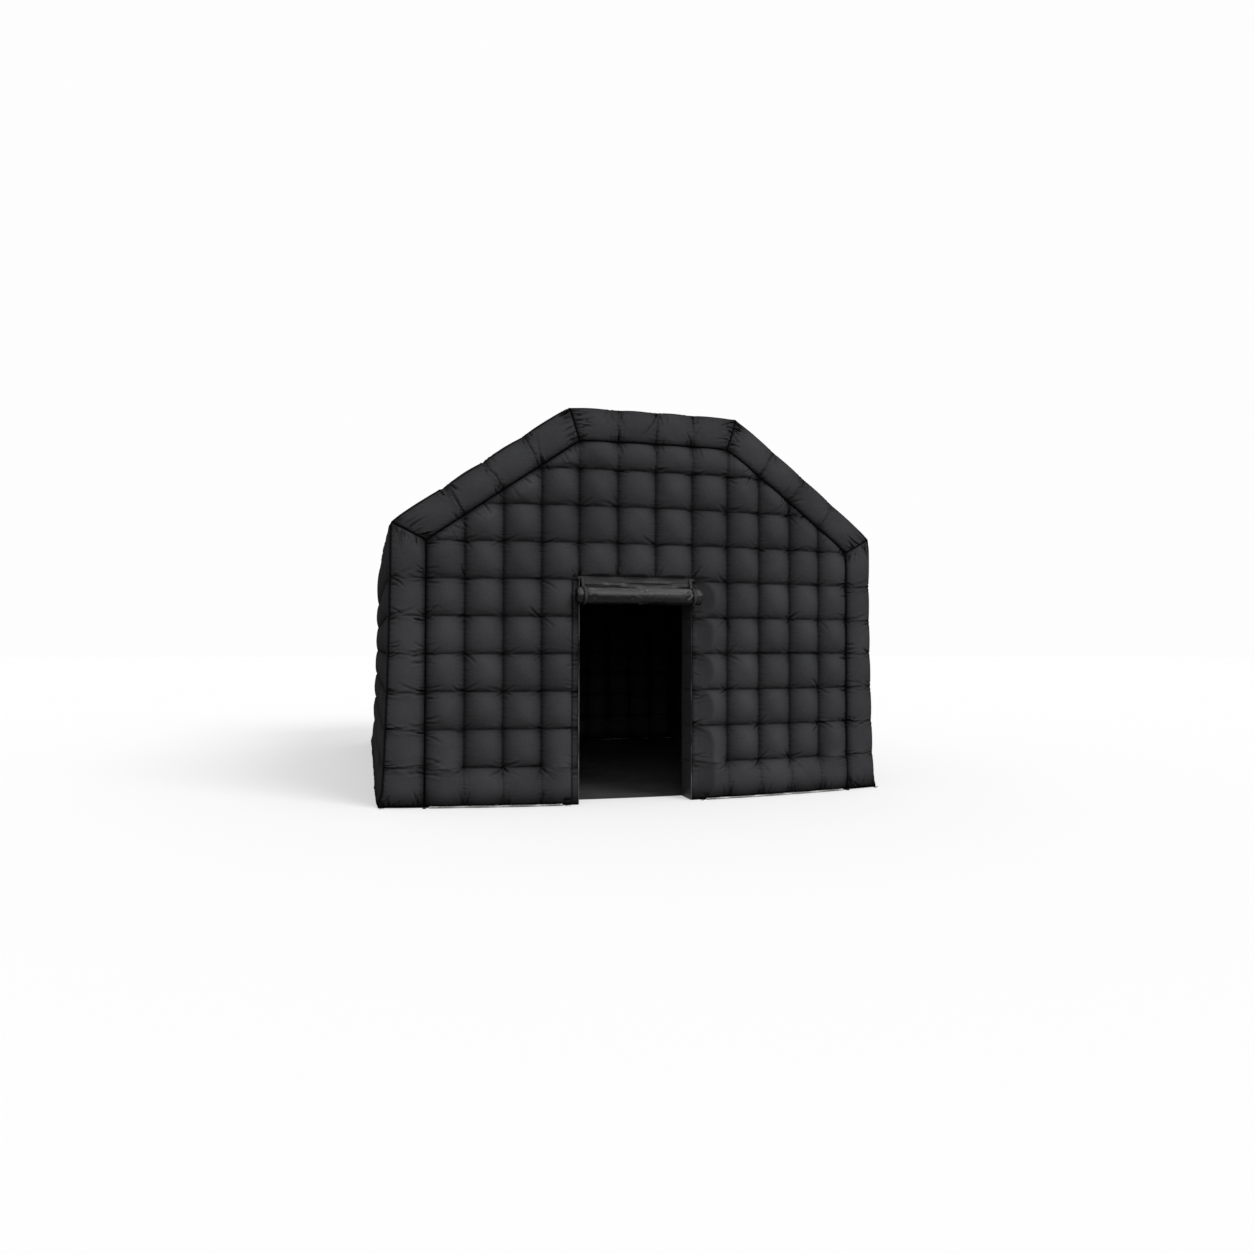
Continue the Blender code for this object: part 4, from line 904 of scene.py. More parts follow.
chamber = {
    "runSteps": 32,
    "bandSteps": 32,
    "depthSteps": 9,
    "innerSteps": 6,
    "length": 6.1,
    "puff": (0.078, 0.046),  # of the border band and of the outer face
    "inset": 0.045,  # of the seam between the two, behind the outer face's bulges
    "tight": (0.25, 0.16),  # part of that at the ground, and the height from which it is whole
    "frontRow": (0.60, 0.7),  # part of its bulge that the outer face has in front, and the reach
    "round": (0.70, 0.75),
    "share": 0.74,  # crown left on the band's cross seams
    "long": (0.20, 0.36),  # creases over the band: their length, width, depth and bend
    "width": 0.018,
    "depth": (0.006, 0.013),
    "bend": (-1.2, 1.2),
}


def outerCorners(band):
    normals = [outward(a, b) for a, b in zip(corners, corners[1:])]
    ends = [corners[0] + normals[0] * band]
    for corner, before, after in zip(corners[1:-1], normals, normals[1:]):
        ends.append(corner + (before + after) * band / (1 + before.dot(after)))
    ends.append(corners[-1] + normals[-1] * band)
    return ends


def stations():
    # seams of each chamber from its start to its end: inner points, outer ones and those drawn in
    rise = (top - eave) / (half - topHalf)
    eaves = rowLines[: tent["eaveRows"] + 1]
    slope = [np.array([(side * -x, eave + (x + half) * rise) for x in columnLines[:5]])
             for side in (-1, 1)]
    stretches = [
        np.array([(-half, z) for z in eaves]),
        slope[0],
        np.array([(x, top) for x in columnLines[4:9]]),
        slope[1][::-1],
        np.array([(half, z) for z in eaves[::-1]]),
    ]
    for order, inner in enumerate(stretches):
        lines = [inner]
        for band in (tent["band"], tent["band"] - chamber["inset"]):
            line = inner + outward(inner[0], inner[-1]) * band
            line[0], line[-1] = outerCorners(band)[order : order + 2]
            lines.append(line)
        yield lines


def sectionOf():
    # round a chamber: how far across and how deep each point lies, and on which face, which is 0 for
    # the front, 1 for the outside, 2 for the back and 3 for the inside
    band, rest = chamber["bandSteps"], chamber["innerSteps"]
    long = chamber["depthSteps"] * tent["depthCells"]
    loop = [(k / band, 0, 0) for k in range(band)]
    loop += [(1, k / long, 1) for k in range(long)]
    loop += [(1 - k / band, 1, 2) for k in range(band)]
    loop += [(0, 1 - k / rest, 3) for k in range(rest)]
    return np.array(loop).T


def quiltedFaces(lengths, u, across, depth, face, seed):
    # height of the cloth on three faces of a chamber, with creases over the band and at the mitres
    cells, wide = len(lengths) - 1, tent["band"]
    height, nearU, nearV = np.zeros((3, *u.shape))
    rows = np.linspace(0, chamber["length"], tent["depthCells"] + 1)
    merged = [("U", i, 0, chamber["share"]) for i in range(1, cells)]
    for kind, vLines, v, left in ((0, [0, wide], across * wide, merged),
                                  (1, rows, depth * chamber["length"], ()),
                                  (2, [0, wide], across * wide, merged)):
        here = face == kind
        height[here], nearU[here], nearV[here] = quiltHeight(
            lengths, vLines, u[here], v[here], seed + 10 * kind, 1.0, left,
            chamber["puff"][kind == 1], chamber["round"])
    draw = np.random.default_rng(seed + 5)
    v = across * wide + 9 * (face == 1)  # which puts the outer face out of their reach
    for i in range(1, cells):
        for start, heading in ((0, math.pi / 2), (wide, -math.pi / 2)):
            addFold(height, u, v, (lengths[i], start), heading + draw.normal(0, 0.10),
                    draw.uniform(*chamber["long"]), chamber["width"],
                    draw.uniform(*chamber["depth"]), draw.uniform(*chamber["bend"]))
    for place, heading in ((lengths[0], 0), (lengths[-1], math.pi)):
        for start in np.linspace(0.03, wide - 0.03, 6):
            foldsAt(height, u, v, draw, "mitre", (place, start), heading, 1.0)
    rim = (face == 0) & (across == 0) | (face == 2) & (across == 1)
    height[[0, -1]] = 0
    height[rim | (face == 1) & (depth == 0)] = 0
    return height, nearU, nearV


def buildChamber(name, lines, startGap, endGap, seed):
    inner = lines[0]
    run = (inner[-1] - inner[0]) / np.linalg.norm(inner[-1] - inner[0])
    normal = outward(inner[0], inner[-1])
    cells = np.arange(len(inner))
    place = np.arange(cells[-1] * chamber["runSteps"] + 1) / chamber["runSteps"]
    lengths = np.concatenate(([0], np.cumsum(np.linalg.norm(np.diff(inner, axis=0), axis=1))))
    section = sectionOf()
    shape = (len(place), section.shape[1])
    across, depth, face = (np.broadcast_to(row, shape) for row in section)
    u = np.broadcast_to(np.interp(place, cells, lengths)[:, None], shape)
    near, far, drawn = [np.stack([np.interp(place, cells, line[:, k]) for k in (0, 1)], 1)[:, None]
                        for line in lines]
    tight = rising(far[..., 1:], *chamber["tight"])
    far = far * (1 - tight) + drawn * tight
    point = near * (1 - across[..., None]) + far * across[..., None]
    point[0] += run * startGap
    point[-1] -= run * endGap
    if abs(normal[0]) > 0.99:  # a side wall flares at its foot
        lean = (1 - point[..., 1] / outerCorners(tent["band"])[1][1]) ** 2
        point[..., 0] += normal[0] * across * tent["flare"] * lean
    y = frontFace(point[..., 0]) * (1 - depth) + tent["back"] * depth
    height, nearU, nearV = quiltedFaces(lengths, u, across, depth, face, seed)
    height = np.where(face == 3, 0, atFoot(height, point[..., 1]))
    # painted shade through the seam marks: darker low in the seams, towards the ground and along the
    # band's inner seam
    light = rising(point[..., 1], *shade["foot"])
    fullness = np.where(face == 3, 1, light * height / np.where(face == 1, *reversed(chamber["puff"])))
    fullness = fullness * np.where(face == 0, rising(across * tent["band"], *shade["band"]), 1)
    least, reach = chamber["frontRow"]
    nearFront = 1 - smooth(depth * chamber["length"] / reach)
    height = height * np.where(face == 1, 1 - (1 - least) * nearFront, 1)
    y = y + np.where(face == 0, -height, 0) + np.where(face == 2, height, 0)
    lift = np.where(face == 1, height, 0)
    mesh = tube(name, points(point[..., 0] + normal[0] * lift, y, point[..., 1] + normal[1] * lift))
    markSeamsAndShade(mesh, nearU.ravel(), nearV.ravel(), fullness.ravel())
    addPiece(name, mesh, wallCloth, sharp=62)


def buildFrame():
    names = ("sideWallLeft", "roofSlopeLeft", "roofTop", "roofSlopeRight", "sideWallRight")
    for order, (name, lines) in enumerate(zip(names, stations())):
        buildChamber(name, lines, gap if order else 0, gap if order < 4 else 0, 100 + 50 * order)


buildFront()
buildBack()
buildFrame()
print("quilted walls made")

# groundsheet

groundsheet = {
    "flat": (4.287, 5.738),
    "area": 24.29,
    "thick": 0.0035,
    "short": 0.0012,  # of the back wall's lining
    "ripple": 0.011,
    "tape": (0.055, 0.0012, 0.085),  # width, thickness and inset
}


def buildGroundsheet():
    share, x = grid(np.linspace(0, 1, 150), np.linspace(-half + gap, half - gap, 110))
    near, far = frontLining(x) + gap, backLining(x) - gap - groundsheet["short"]
    y = near * (1 - share) + far * share
    wave = ripple(y + 0.12 * np.sin(x * 1.7), 61, 0.9, 0.09) + 0.4 * ripple(x + 0.2 * y, 62, 1.6, 0.2)
    inside = np.minimum(np.minimum(y - near, far - y), half - np.abs(x))
    lift = groundsheet["ripple"] * np.maximum(wave, 0) * smooth(inside / 0.10)
    mesh = slab("groundsheet", points(x, y, groundsheet["thick"] + lift), points(x, y, lift))
    sheet = addPiece("groundsheet", mesh, sheetCloth, sharp=50, replaces=("floor_sheet",))
    wide, thick, inset = groundsheet["tape"]
    back, level = tent["back"] - tent["thick"] - inset - wide / 2, groundsheet["thick"] + thick * 0.7
    path = [(x, back, level) for x in np.linspace(-half + 0.02, half - 0.02, 90)]
    tape = addPiece("groundsheetTape", ribbon("groundsheetTape", path, (0, 1, 0), wide, thick),
                    paleWebbing, replaces=())


buildGroundsheet()

# facings and piping of the doorway

doorway = {
    "thick": 0.003,
    "ease": (0.0050, 0.008),  # of a facing between its two seams, and the most that it may be
    "held": (0.05, 0.060),  # part of that left where the wall's row seams hold it, and their reach
    "skin": 0.0005,  # left free before the wall's front and lining
    "lintelGap": 0.0043,  # at either end of the lintel, for the jambs' cloth
    "flat": (0.283, 2.109),
    "lintelFlat": (0.283, 1.109),
    "piping": 0.005,
    "pipingGaps": (0.005, 0.004),  # below and above it
    "pipingOff": 0.002,
}


def buildFacing(name, fixed, into, length, along):
    # cloth over a cut edge of the wall, eased a little between its two seams
    run, share = grid(np.linspace(0, 1, 240), np.linspace(0, 1, 22))
    place = run * length
    upright = along == "z"
    crease = ripple(place + 0.03 * share, 71 + len(name), 0.42, 0.035)
    crease = crease * (0.5 + 0.5 * np.abs(share - 0.5))
    rows = np.abs(place[..., None] - (rowLines if upright else rowLines[:4])).min(-1)
    ease, most = doorway["ease"]
    ease = ease * (0.8 + crease) * arch(share, 0.5) * arch(run, 0.1)
    ease = np.clip(ease, 0, most) * rising(rows, *doorway["held"])
    push = np.array((into, 0, 0) if upright else (0, 0, into))
    x, z = (fixed, place) if upright else (doorLeft + doorway["lintelGap"] + place, fixed)
    base = points(x, frontFace(x) + doorway["skin"] + share * (tent["thick"] - 2 * doorway["skin"]), z)
    mesh = slab(name, base + (doorway["thick"] + ease)[..., None] * push, base + ease[..., None] * push)
    # painted shade: darker near the wall's row seams, where they hold the facing in
    pulled = rows + 0.010 * ripple(share, 73, 0.9, 0.2)
    markSeamsAndShade(mesh, 0, 0, onBothSides(0.10 + 1.1 * smooth(np.abs(pulled) / 0.022)))
    piece = addPiece(name, mesh, facingCloth, sharp=50)


def buildPiping(name, x, seed):
    off, (low, high) = doorway["pipingOff"], doorway["pipingGaps"]
    y = min(frontFace(x - off), frontFace(x + off)) - gap - doorway["piping"]
    heights = np.linspace(low, doorTop - gap - high, 160)[:, None]
    r = doorway["piping"] * 0.95 * (1 + 0.05 * ripple(heights, seed, 0.2, 0.02))
    sway = 0.0012 * ripple(heights, seed + 1, 0.5, 0.08)
    turn = np.linspace(0, 2 * np.pi, 12, endpoint=False)
    rings = points(x + sway + r * np.cos(turn), y + r * np.sin(turn), heights)
    addPiece(name, tube(name, rings), pipingCloth, sharp=50)


def buildDoorway():
    off, width = doorway["pipingOff"], doorRight - doorLeft
    buildFacing("doorJambLeft", doorLeft + gap, 1, doorTop - gap, "z")
    buildFacing("doorJambRight", doorRight - gap, -1, doorTop - gap, "z")
    buildFacing("doorLintel", doorTop - gap, -1, width - 2 * doorway["lintelGap"], "x")
    buildPiping("doorPipingLeft", doorLeft + gap + off, 75)
    buildPiping("doorPipingRight", doorRight - gap - off, 77)


buildDoorway()
print("groundsheet and doorway made")

# door curtain, rolled up over the doorway

curtain = {
    "standoff": 0.0165,
    "overlap": 0.020,
    "cloth": 0.003,
    "header": (0.030, 0.0035),  # height and thickness
    "slack": 0.0008,  # of the header
    "leaderTop": 0.016,
    "inset": 0.030,  # of the leader's side edges from the header's
    "roll": 0.0825,
    "rollOverlap": 0.055,
    "drop": 0.154,
    "pitch": 0.0115,
    "turns": 6,
    "gather": 0.15,
    "fold": 0.15,
    "girth": (0.76, 1.05),  # least and most
    "lobes": (2, 3, 4, 5, 7, 9, 12, 16),  # folds round the roll
    "rows": (0.19, 0.25, 0.31, 0.37, 0.42),  # where creases start, in metres round it
    "tie": (0.025, 0.002, 0.045),  # width, thickness and inset
    "tieLoop": (0.0808, 0.0062),  # its reach from the roll's axis, and how much more at the back
    "tieOpen": 1.05,  # left open of a whole turn, in radians
    "headerFlat": (1.165, 0.031),
    "leaderFlat": (1.094, 0.180),
    "rollFlat": (1.24, 1.80),
}
plane = frontFace(doorMiddle) - curtain["standoff"]
curtainHalf = doorHalf + curtain["overlap"]
rollY = plane - curtain["cloth"] - 2 * gap - curtain["roll"]
rollZ = doorTop - curtain["drop"]
tiePlaces = (doorMiddle - curtainHalf + curtain["tie"][2], doorMiddle + curtainHalf - curtain["tie"][2])


def buildHeader():
    high, thick = curtain["header"]
    x, up = grid(np.linspace(-1, 1, 150) * curtainHalf + doorMiddle, np.linspace(0, 1, 9))
    slack = curtain["slack"]
    front = plane + slack + slack * ripple(x, 81, 0.2, 0.02) * arch(up, 0.5)
    upper = points(x, front, doorTop + up * (high - 0.001) + slack * ripple(x, 82, 0.4, 0.05) * up)
    mesh = slab("curtainHeader", upper, upper + np.array((0, thick * 0.75, 0)))
    # painted light and shade: top sides lighter, undersides darker, and darker towards both ends
    ends = np.exp(-(curtainHalf - np.abs(x - doorMiddle)) / 0.022)
    markSeamsAndShade(mesh, 0, 0, paintedTopLight(mesh, 0.55, -0.10) * (1 - 0.9 * onBothSides(ends)))
    header = addPiece("curtainHeader", mesh, curtainCloth, sharp=50)


def buildLeader():
    x, up = grid(np.linspace(-1, 1, 190), np.linspace(0, 1, 40))
    z = rollZ + up * (doorTop + curtain["leaderTop"] - rollZ)
    x = doorMiddle + x * (curtainHalf - curtain["inset"])
    reach = (x - doorMiddle) / curtainHalf
    drape = 0.022 * (1 - reach ** 2) * np.sin(3.3 * reach + 0.6) - 0.020 * np.abs(reach) ** 3
    layers = np.cos(2 * np.pi * (z - doorTop + drape) / 0.062) + 0.35 * np.cos(
        2 * np.pi * (z - 1.6 * drape + 0.010 * np.sin(5 * reach)) / 0.037)
    slant = ripple(x + 0.9 * z, 83, 0.8, 0.22)
    free = smooth((doorTop - z) / 0.03) * smooth((z - rollZ) / 0.02)
    lift = (0.0065 * (layers + 0.7) + 0.0030 * slant) * free
    upper = points(x, plane - gap - curtain["cloth"] - np.maximum(lift, 0), z)
    mesh = slab("curtainLeader", upper, upper + np.array((0, curtain["cloth"] * 0.8, 0)))
    # painted shade: an even dark over the leader, darker towards both ends
    ends = np.exp(-((1 - np.abs(reach)) / 0.10) ** 2)
    markSeamsAndShade(mesh, 0, 0, 0.12 * (1 - 0.9 * onBothSides(ends)), 0)
    leader = addPiece("curtainLeader", mesh, curtainCloth, sharp=60, body=None)
    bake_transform(leader)


def rollFolds(x, angle, draw):
    # folds round the roll that run askew along it
    folds = np.zeros_like(x)
    for lobes in curtain["lobes"]:
        twist = draw.uniform(-7, 7)
        drift = draw.uniform(0.5, 1.5) * np.sin(draw.uniform(2, 6) * x + draw.uniform(0, 6.3))
        folds += np.cos(lobes * angle + twist * x + drift + draw.uniform(0, 6.3)) / lobes ** 0.6
    folds = np.sign(folds) * np.abs(folds / 2.2) ** 1.3
    return folds + 0.35 * ripple(x + 0.02 * np.cos(angle * 3), 92, 0.3, 0.03)


def rollCreases(x, angle, draw):
    # creases that leave the ties and the middle of its front
    creased = np.zeros_like(x)
    left, right = tiePlaces
    for spot, heading in ((left, 0), (right, math.pi), (doorMiddle, 0.4), (doorMiddle, 2.9)):
        for row in curtain["rows"]:
            for _ in range(2):
                start = (spot - doorMiddle + draw.normal(0, 0.03), row + draw.normal(0, 0.02))
                addFold(creased, x, angle * curtain["roll"], start, heading + draw.normal(0, 0.3),
                        draw.uniform(0.10, 0.30), draw.uniform(0.012, 0.022),
                        draw.uniform(0.004, 0.012), draw.uniform(-2, 2))
    return creased


def buildRoll():
    longHalf = curtainHalf + curtain["rollOverlap"] - curtain["overlap"]
    along, turn = grid(np.linspace(-1, 1, 170), np.linspace(0, curtain["turns"], 200))
    x, angle = along * longHalf, 2 * np.pi * turn
    draw = np.random.default_rng(91)
    folds = rollFolds(x, angle, draw)
    hold = sum(np.exp(-((x + doorMiddle - place) / 0.032) ** 2) for place in tiePlaces)
    ends = smooth((np.abs(x) - longHalf + 0.05) / 0.05)
    creased = rollCreases(x, angle, draw)
    factor = 1 - curtain["gather"] * hold - 0.10 * ends + creased / curtain["roll"]
    factor = factor + curtain["fold"] * folds * (1 - 0.75 * np.clip(hold, 0, 1))
    factor = np.where(np.cos(angle) > 0.55, np.minimum(factor, 1), factor)  # flat against the leader
    radius = (curtain["roll"] - curtain["pitch"] * turn) * np.clip(factor, *curtain["girth"])
    lip = smooth((np.abs(x) - longHalf + 0.03) / 0.03)
    across = doorMiddle + x + np.sign(x) * lip * (0.0036 * np.sin(7 * angle + 1) - 0.004)
    mesh = slab("curtainRoll", *(points(across, rollY + r * np.cos(angle), rollZ - r * np.sin(angle))
                                 for r in (radius, radius - curtain["cloth"])))
    # painted light and shade: top sides lighter, undersides darker, and darker at the ties and the ends
    rollPaintedLight = paintedTopLight(mesh, 1.1, -0.32) * (1 - 0.92 * onBothSides(np.clip(hold + ends, 0, 1)))
    markSeamsAndShade(mesh, 0, 0, rollPaintedLight)
    roll = addPiece("curtainRoll", mesh, curtainCloth, sharp=60, body="curtain_rolled")


def buildTie(name, x):
    # webbing down behind the roll, round it and up again in front of the header
    wide, thick, _ = curtain["tie"]
    high = curtain["header"][0]
    near, more = curtain["tieLoop"]
    turn = np.linspace(0, 2 * np.pi - curtain["tieOpen"], 60)
    reach = near + more * ((1 + np.cos(turn)) / 2) ** 2
    loop = np.stack((rollY + reach * np.cos(turn), rollZ - reach * np.sin(turn)), -1)
    drop = np.linspace(doorTop - gap, rollZ + 0.01, 6)
    back = np.stack((np.full(6, plane + thick / 2 + 0.0002), drop), -1)
    foot = plane - curtain["cloth"] - 2 * gap - thick * 0.6
    rise = np.linspace(0, 1, 12)[1:, None]
    climb = loop[-1] * (1 - rise) + np.array((foot, doorTop + (curtain["leaderTop"] + high) / 2)) * rise
    climb[:, 0] -= 0.004 * np.sin(rise[:, 0] * np.pi)
    path = np.concatenate((back, loop[2:], climb, [(foot, doorTop + high - 0.001)]))
    path = [(x + 0.0015 * math.sin(k * 0.21), y, z) for k, (y, z) in enumerate(path)]
    tie = addPiece(name, ribbon(name, path, (1, 0, 0), wide, thick), blackWebbing, sharp=60)
    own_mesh(tie)


buildHeader()
buildLeader()
buildRoll()
buildTie("curtainTieLeft", tiePlaces[0])
buildTie("curtainTieRight", tiePlaces[1])
print("curtain made")

# hem webbing and anchor tabs

hem = {
    "width": 0.020,
    "thick": 0.0025,
    "short": 0.0012,  # of the wall's foot
    "ease": 0.004,
    "rise": 0.0175,
    # radius of the dark cord that stands in for the shadow under the hem's front edge
    "edge": 0.0026,
}
tab = {
    "width": 0.030,
    "cloth": 0.002,
    "reach": 0.055,
    "inset": 0.040,
    "doorOffset": 0.110,
    "wire": 0.0035,
    "play": 0.0005,
    "ring": 0.050,
}
wallLean = 0.050 / (tent["rows"][0] / 3)  # slope of the wall's foot
tabCorner = outerHalf + tent["flare"] - tab["inset"]
tabPlaces = {
    "FrontLeft": -tabCorner,
    "SeamLeft": -half,
    "DoorLeft": doorLeft - tab["doorOffset"],
    "DoorRight": doorRight + tab["doorOffset"],
    "SeamRight": half,
    "FrontRight": tabCorner,
}


def buildTab(name, x, wall, out):
    # webbing out along the ground, round the ring's bar and back to the wall
    radius = tab["wire"] + tab["play"] + tab["cloth"] / 2
    low = tab["cloth"] / 2
    bar = wall + out * tab["reach"]
    start = wall + out * (wallLean * tab["cloth"] + gap)
    finish = wall + out * (wallLean * (2 * low + 2 * radius) + gap)
    path = [(x, start + (bar - start) * s, low) for s in np.linspace(0, 1, 8)[:-1]]
    for a in np.linspace(-np.pi / 2, np.pi / 2, 14):
        path.append((x, bar + out * radius * math.cos(a), low + radius + radius * math.sin(a)))
    for s in np.linspace(0, 1, 12)[1:]:
        sag = (2 * radius - tab["cloth"] * 1.15) * float(smooth(s / 0.45))
        path.append((x, bar + (finish - bar) * s, low + 2 * radius - sag))
    mesh = ribbon(name, path, (1, 0, 0), tab["width"], tab["cloth"] * 0.95)
    addPiece(name, mesh, blackWebbing, sharp=60)


def buildAnchors():
    wide = tab["width"] / 2
    for place, x in tabPlaces.items():
        buildTab("anchorTab" + place, x, min(frontFace(x - wide), frontFace(x + wide)), -1)
    buildTab("anchorTabBackLeft", -tabCorner, tent["back"], 1)
    buildTab("anchorTabBackRight", tabCorner, tent["back"], 1)


def buildHem(side, start, end, seed):
    # pale webbing from the wall's foot down to the ground, and a dark cord along its front edge that
    # stands in for the shadow line beneath it
    clear = tab["width"] / 2 + tab["ring"] / 2
    x, share = grid(np.linspace(start + clear, end - clear, 120), np.linspace(0, 1, 8))
    near = frontFace(x) - wallLean * hem["rise"] - gap - hem["short"]
    y = near - share * hem["width"] + hem["ease"] * 0.4 * ripple(x, seed, 0.5, 0.06) * share
    lift = (hem["rise"] - hem["thick"]) * (1 - share) ** 1.3
    lift = lift + 0.0010 * np.maximum(ripple(x, seed + 1, 0.3, 0.04), 0) * share
    crown = 1 - webbing["selvedge"] * (2 * share - 1) ** 6
    name = "hemWebbing" + side
    mesh = slab(name, points(x, y, hem["thick"] * crown + lift), points(x, y, lift))
    addPiece(name, mesh, paleWebbing, sharp=60)
    # painted shadow: a dark cord along the front edge, where the shadow under the curled hem falls
    turn = np.linspace(0, 2 * np.pi, 10, endpoint=False)
    ring = hem["edge"] * (1 + 0.05 * ripple(x[:, :1], seed + 2, 0.2, 0.03))
    rings = points(x[:, :1], y[:, -1:] - hem["edge"] * 0.9 + ring * np.cos(turn),
                   hem["edge"] * 1.06 + ring * np.sin(turn))
    name = "hemEdge" + side
    addPiece(name, tube(name, rings), blackWebbing, sharp=50, replaces=())


buildAnchors()
buildHem("Left", tabPlaces["SeamLeft"], tabPlaces["DoorLeft"], 95)
buildHem("Right", tabPlaces["DoorRight"], tabPlaces["SeamRight"], 97)
print("hem and anchors made")

# deflation zip and inflation sleeve at the back

zipper = {
    "centre": (-1.269, 0.543),
    "length": 0.280,
    "tape": 0.036,
    "cloth": 0.0012,
    "teeth": 0.007,
    "tooth": 0.0022,
    "pitch": 0.005,
    "stop": (0.0035, 0.003, 0.009),
}
sleeve = {
    "centre": (1.269, 0.135),
    "length": 0.420,
    "spigot": 0.080,
    "radius": 0.105,
    "swell": 0.0095,
    "swells": 3,
    "bore": 0.0723,
    "cloth": 0.003,
    "fold": 0.0045,
    "facets": 72,
}
strap = {"width": 0.025, "cloth": 0.002, "lap": 0.55}  # lap of either end, in radians


def boxAt(bm, centre, size):
    made = bmesh.ops.create_cube(bm, size=1)
    bmesh.ops.scale(bm, vec=size, verts=made["verts"])
    bmesh.ops.translate(bm, vec=centre, verts=made["verts"])


def buildZip():
    x0, z0 = zipper["centre"]
    face = tent["back"] + gap
    cloth, teeth, pitch, long = (zipper[key] for key in ("cloth", "teeth", "pitch", "length"))
    bm = bmesh.new()
    wide = (zipper["tape"] - teeth * 0.4) / 2
    for side in (-1, 1):
        boxAt(bm, (x0, face + cloth / 2 + 0.0002, z0 + side * (teeth * 0.2 + wide / 2)),
              (long, cloth, wide))
    bmesh.ops.bevel(bm, geom=bm.edges[:], offset=0.0003, segments=1, affect="EDGES")
    for k in range(int(long / pitch)):
        side = 1 if k % 2 else -1
        boxAt(bm, (x0 - long / 2 + (k + 0.5) * pitch, face + 0.002 + zipper["tooth"] / 2,
                   z0 + side * teeth * 0.12), (pitch * 0.62, zipper["tooth"], teeth * 0.72))
    for end in (-1, 1):
        boxAt(bm, (x0 + end * (long / 2 - 0.002), face + 0.003, z0), zipper["stop"])
    addPiece("zipTape", meshFrom(bm, "zipTape"), blackWebbing, sharp=30)


def buildSleeve():
    x, z = sleeve["centre"]
    body, wide = sleeve["length"] - sleeve["spigot"], sleeve["radius"]
    cuff = sleeve["bore"] + sleeve["cloth"]
    at = np.linspace(0, body, 61)
    phase = at / body * sleeve["swells"]
    reach = wide - (wide - cuff) * smooth((phase - 2.4) / 0.6) + sleeve["swell"] * arch(phase % 1, 0.8)
    at = np.concatenate((at, body + np.linspace(0.1, 1, 12) * sleeve["spigot"]))[:, None]
    reach = np.concatenate((reach, np.full(12, cuff)))[:, None]
    a = np.linspace(0, 2 * np.pi, sleeve["facets"], endpoint=False)[None, :]
    gathered = smooth((at - body * 0.62) / (body * 0.38)) + 0.5 * smooth(1 - at / 0.05)
    gathered = gathered * (1 - 0.8 * smooth((at - body) / sleeve["spigot"] * 1.2))
    wave = np.sin(11 * a + 1.5 * np.sin(3 * a) + at * 9) + 0.6 * np.sin(19 * a - at * 13)
    folds = (0.6 * gathered * wave + 0.3 * np.sin(5 * a + at * 30)) * np.minimum(1, at / 0.01)
    reach = reach + sleeve["fold"] * folds
    at = np.concatenate((at, [[sleeve["length"]], [body + 0.001]]))  # and back inside
    reach = np.concatenate((reach, np.full((2, a.shape[1]), sleeve["bore"])))
    face = tent["back"] + gap
    rings = points(x + reach * np.sin(a), face + at, z + reach * np.cos(a))
    addPiece("inflationSleeve", tube("inflationSleeve", rings), wallCloth, sharp=50)
    turn = np.linspace(-strap["lap"], 2 * np.pi + strap["lap"], 110)
    lap = strap["cloth"] * smooth((turn - 2 * np.pi + 0.6) / 0.4)
    level = face + sleeve["length"] - sleeve["spigot"] / 2
    path = [(x + r * math.sin(b), level, z + r * math.cos(b))
            for b, r in zip(turn, cuff + gap + strap["cloth"] / 2 + lap + 0.0006)]
    mesh = ribbon("sleeveStrap", path, (0, 1, 0), strap["width"], strap["cloth"] * 0.9)
    addPiece("sleeveStrap", mesh, blackWebbing, sharp=60)


buildZip()
buildSleeve()
print("zip and sleeve made")

# finishes of the rigid parts

plastic = {
    "moulding": ((0.028, 0.028, 0.030), 0.44, 900.0),  # colour, roughness and grain
    "fan": ((0.020, 0.020, 0.021), 0.38, 900.0),
    "rocker": ((0.22, 0.012, 0.010), 0.32, 1400.0),
    "rubber": ((0.016, 0.016, 0.016), 0.82, 500.0),
}
metal = {
    "ring": ((0.62, 0.62, 0.63), 0.26, (900, 60, 900)),
    "shaft": ((0.58, 0.58, 0.59), 0.22, (60, 900, 900)),
    "enamel": (0.16, 0.165, 0.17),
    "chipped": (0.30, 0.30, 0.30),
}


def paintPlastic(name, colour, roughness, grain):
    # moulded parts: a fine spark grain, slow sheen changes and rubbed patches
    paint = Finish(name, colour, Roughness=roughness, Specular_IOR_Level=0.5)
    spot = paint.place()
    rubbed = paint.tones(paint.noise(spot, 22, 6, 0.62), (0.50, 0.0), (0.74, 1.0))
    paint.feed("Base Color", paint.mix(rubbed * 0.6, colour, [c * 1.6 + 0.012 for c in colour]))
    paint.feed("Roughness", roughness + 0.10 * paint.noise(spot, 60, 3) - 0.09 * rubbed)
    normal = paint.bump(paint.noise(spot, 9, 2), 0.0008, 0.4)
    paint.feed("Normal", paint.bump(paint.noise(spot, grain, 2), 0.00012, 0.5, normal))
    return paint


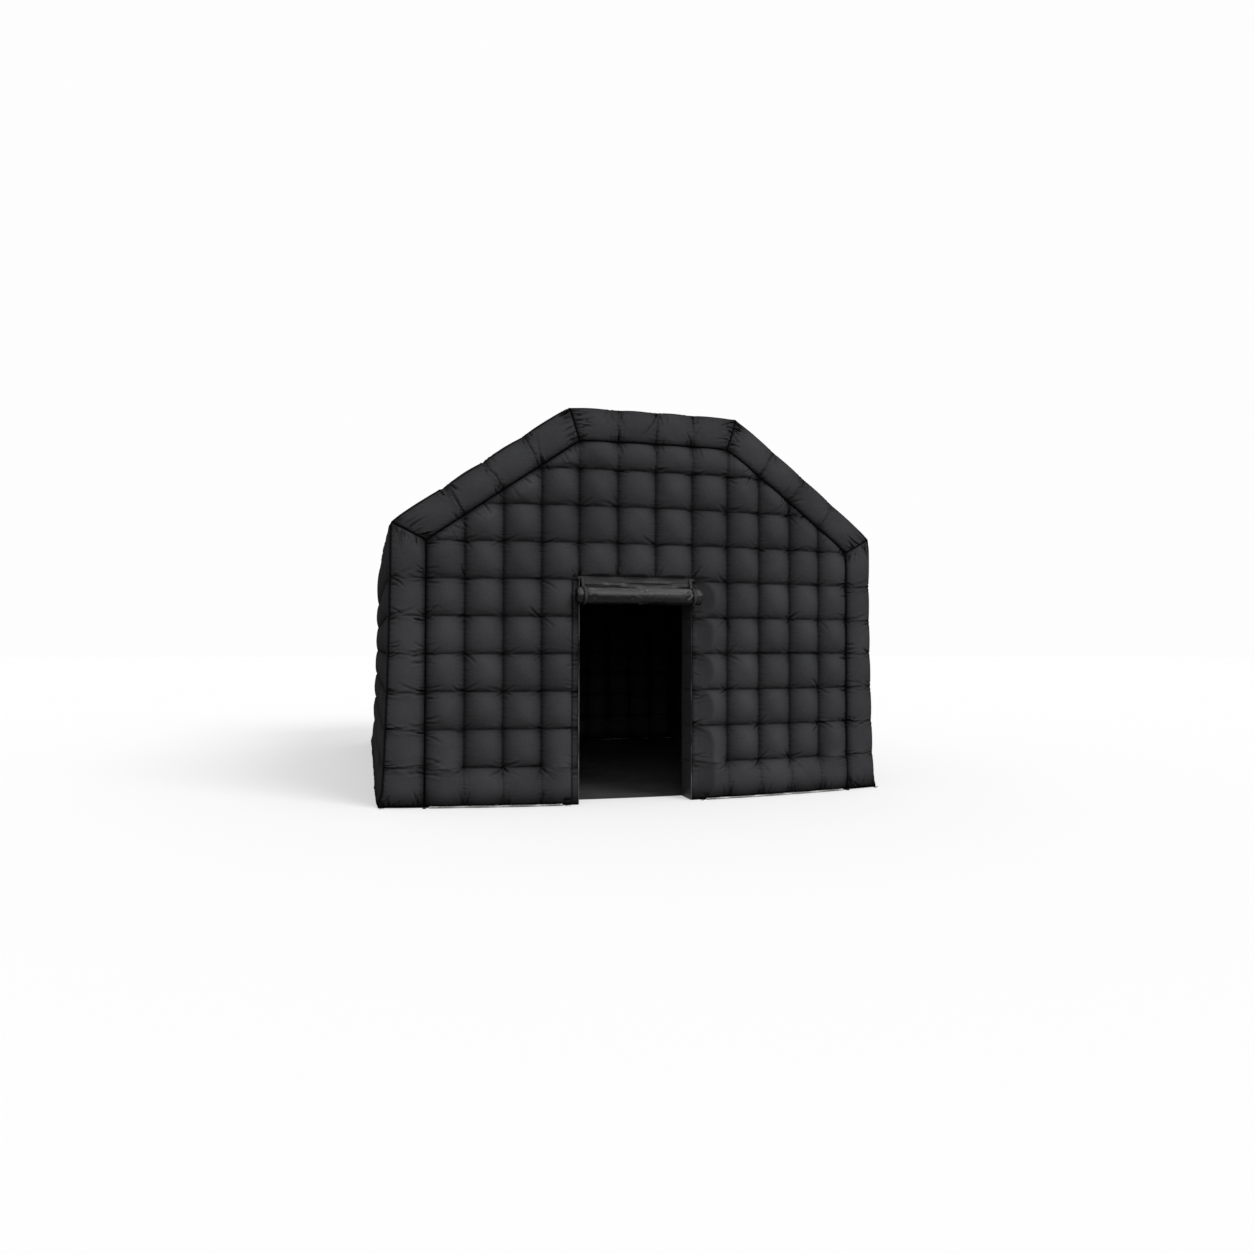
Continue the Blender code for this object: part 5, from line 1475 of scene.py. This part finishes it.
def paintSteel(name, colour, roughness, grain):
    # plated wire and shafts: drawn lines, dull patches and small stains
    paint = Finish(name, colour, Roughness=roughness, Metallic=1.0)
    spot = paint.place()
    lines = paint.noise(paint.stretched(spot, grain), 1.0, 3)
    stain = paint.tones(paint.noise(spot, 130, 5, 0.6), (0.56, 0.0), (0.72, 1.0))
    paint.feed("Base Color", paint.mix(stain * 0.7, colour, [c * 0.55 for c in colour]))
    paint.feed("Roughness", roughness + 0.16 * lines + 0.25 * stain)
    paint.feed("Normal", paint.bump(lines, 0.00008, 0.6))
    return paint


def paintMotor():
    # cast can: grey enamel with a pebbled skin
    paint = Finish("motorEnamel", metal["enamel"], Roughness=0.5)
    spot = paint.place()
    chips = paint.tones(paint.noise(spot, 90, 5, 0.65), (0.62, 0.0), (0.66, 1.0))
    paint.feed("Base Color", paint.mix(chips, metal["enamel"], metal["chipped"]))
    paint.feed("Roughness", 0.42 + 0.2 * paint.noise(spot, 40, 3))
    paint.feed("Normal", paint.bump(paint.noise(spot, 420, 3), 0.0003, 0.7))
    return paint


rigid = {
    paintPlastic("blowerMoulding", *plastic["moulding"]): (
        "blower_handle", "blower_housing_left", "blower_housing_right", "blower_nozzle",
        "inlet_grille_left", "inlet_grille_right", "motor_bracket", "sleeve_buckle", "switch_box"),
    paintPlastic("fanPlastic", *plastic["fan"]): ("impeller",),
    paintPlastic("rockerPlastic", *plastic["rocker"]): ("rocker_switch",),
    paintPlastic("skidRubber", *plastic["rubber"]): (
        "blower_skid_left", "blower_skid_right", "cable_gland"),
    paintSteel("ringSteel", *metal["ring"]): ("zip_slider", *("anchor_ring_" + spot for spot in (
        "back_left", "back_right", "door_left", "door_right", "front_left", "front_right"))),
    paintSteel("shaftSteel", *metal["shaft"]): ("motor_shaft",),
    paintMotor(): ("blower_motor",),
}
edges = {
    0.0022: ("blower_housing_left", "blower_housing_right"),
    0.0020: ("blower_skid_left", "blower_skid_right"),
    0.0012: ("blower_nozzle",),
    0.0010: ("switch_box",),
    0.0008: ("sleeve_buckle",),
    0.0006: ("inlet_grille_left", "inlet_grille_right", "motor_bracket", "rocker_switch"),
    0.0003: ("zip_slider",),
}


def finishRigid():
    for paint, names in rigid.items():
        for name in names:
            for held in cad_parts[name].material_slots:
                held.material = paint.material
    for width, names in edges.items():
        for name in names:
            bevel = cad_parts[name].modifiers.new("edges", "BEVEL")
            bevel.width = width
            bevel.segments = 2
            bevel.limit_method = "ANGLE"
            bevel.angle_limit = math.radians(40)


finishRigid()
print("rigid parts finished")
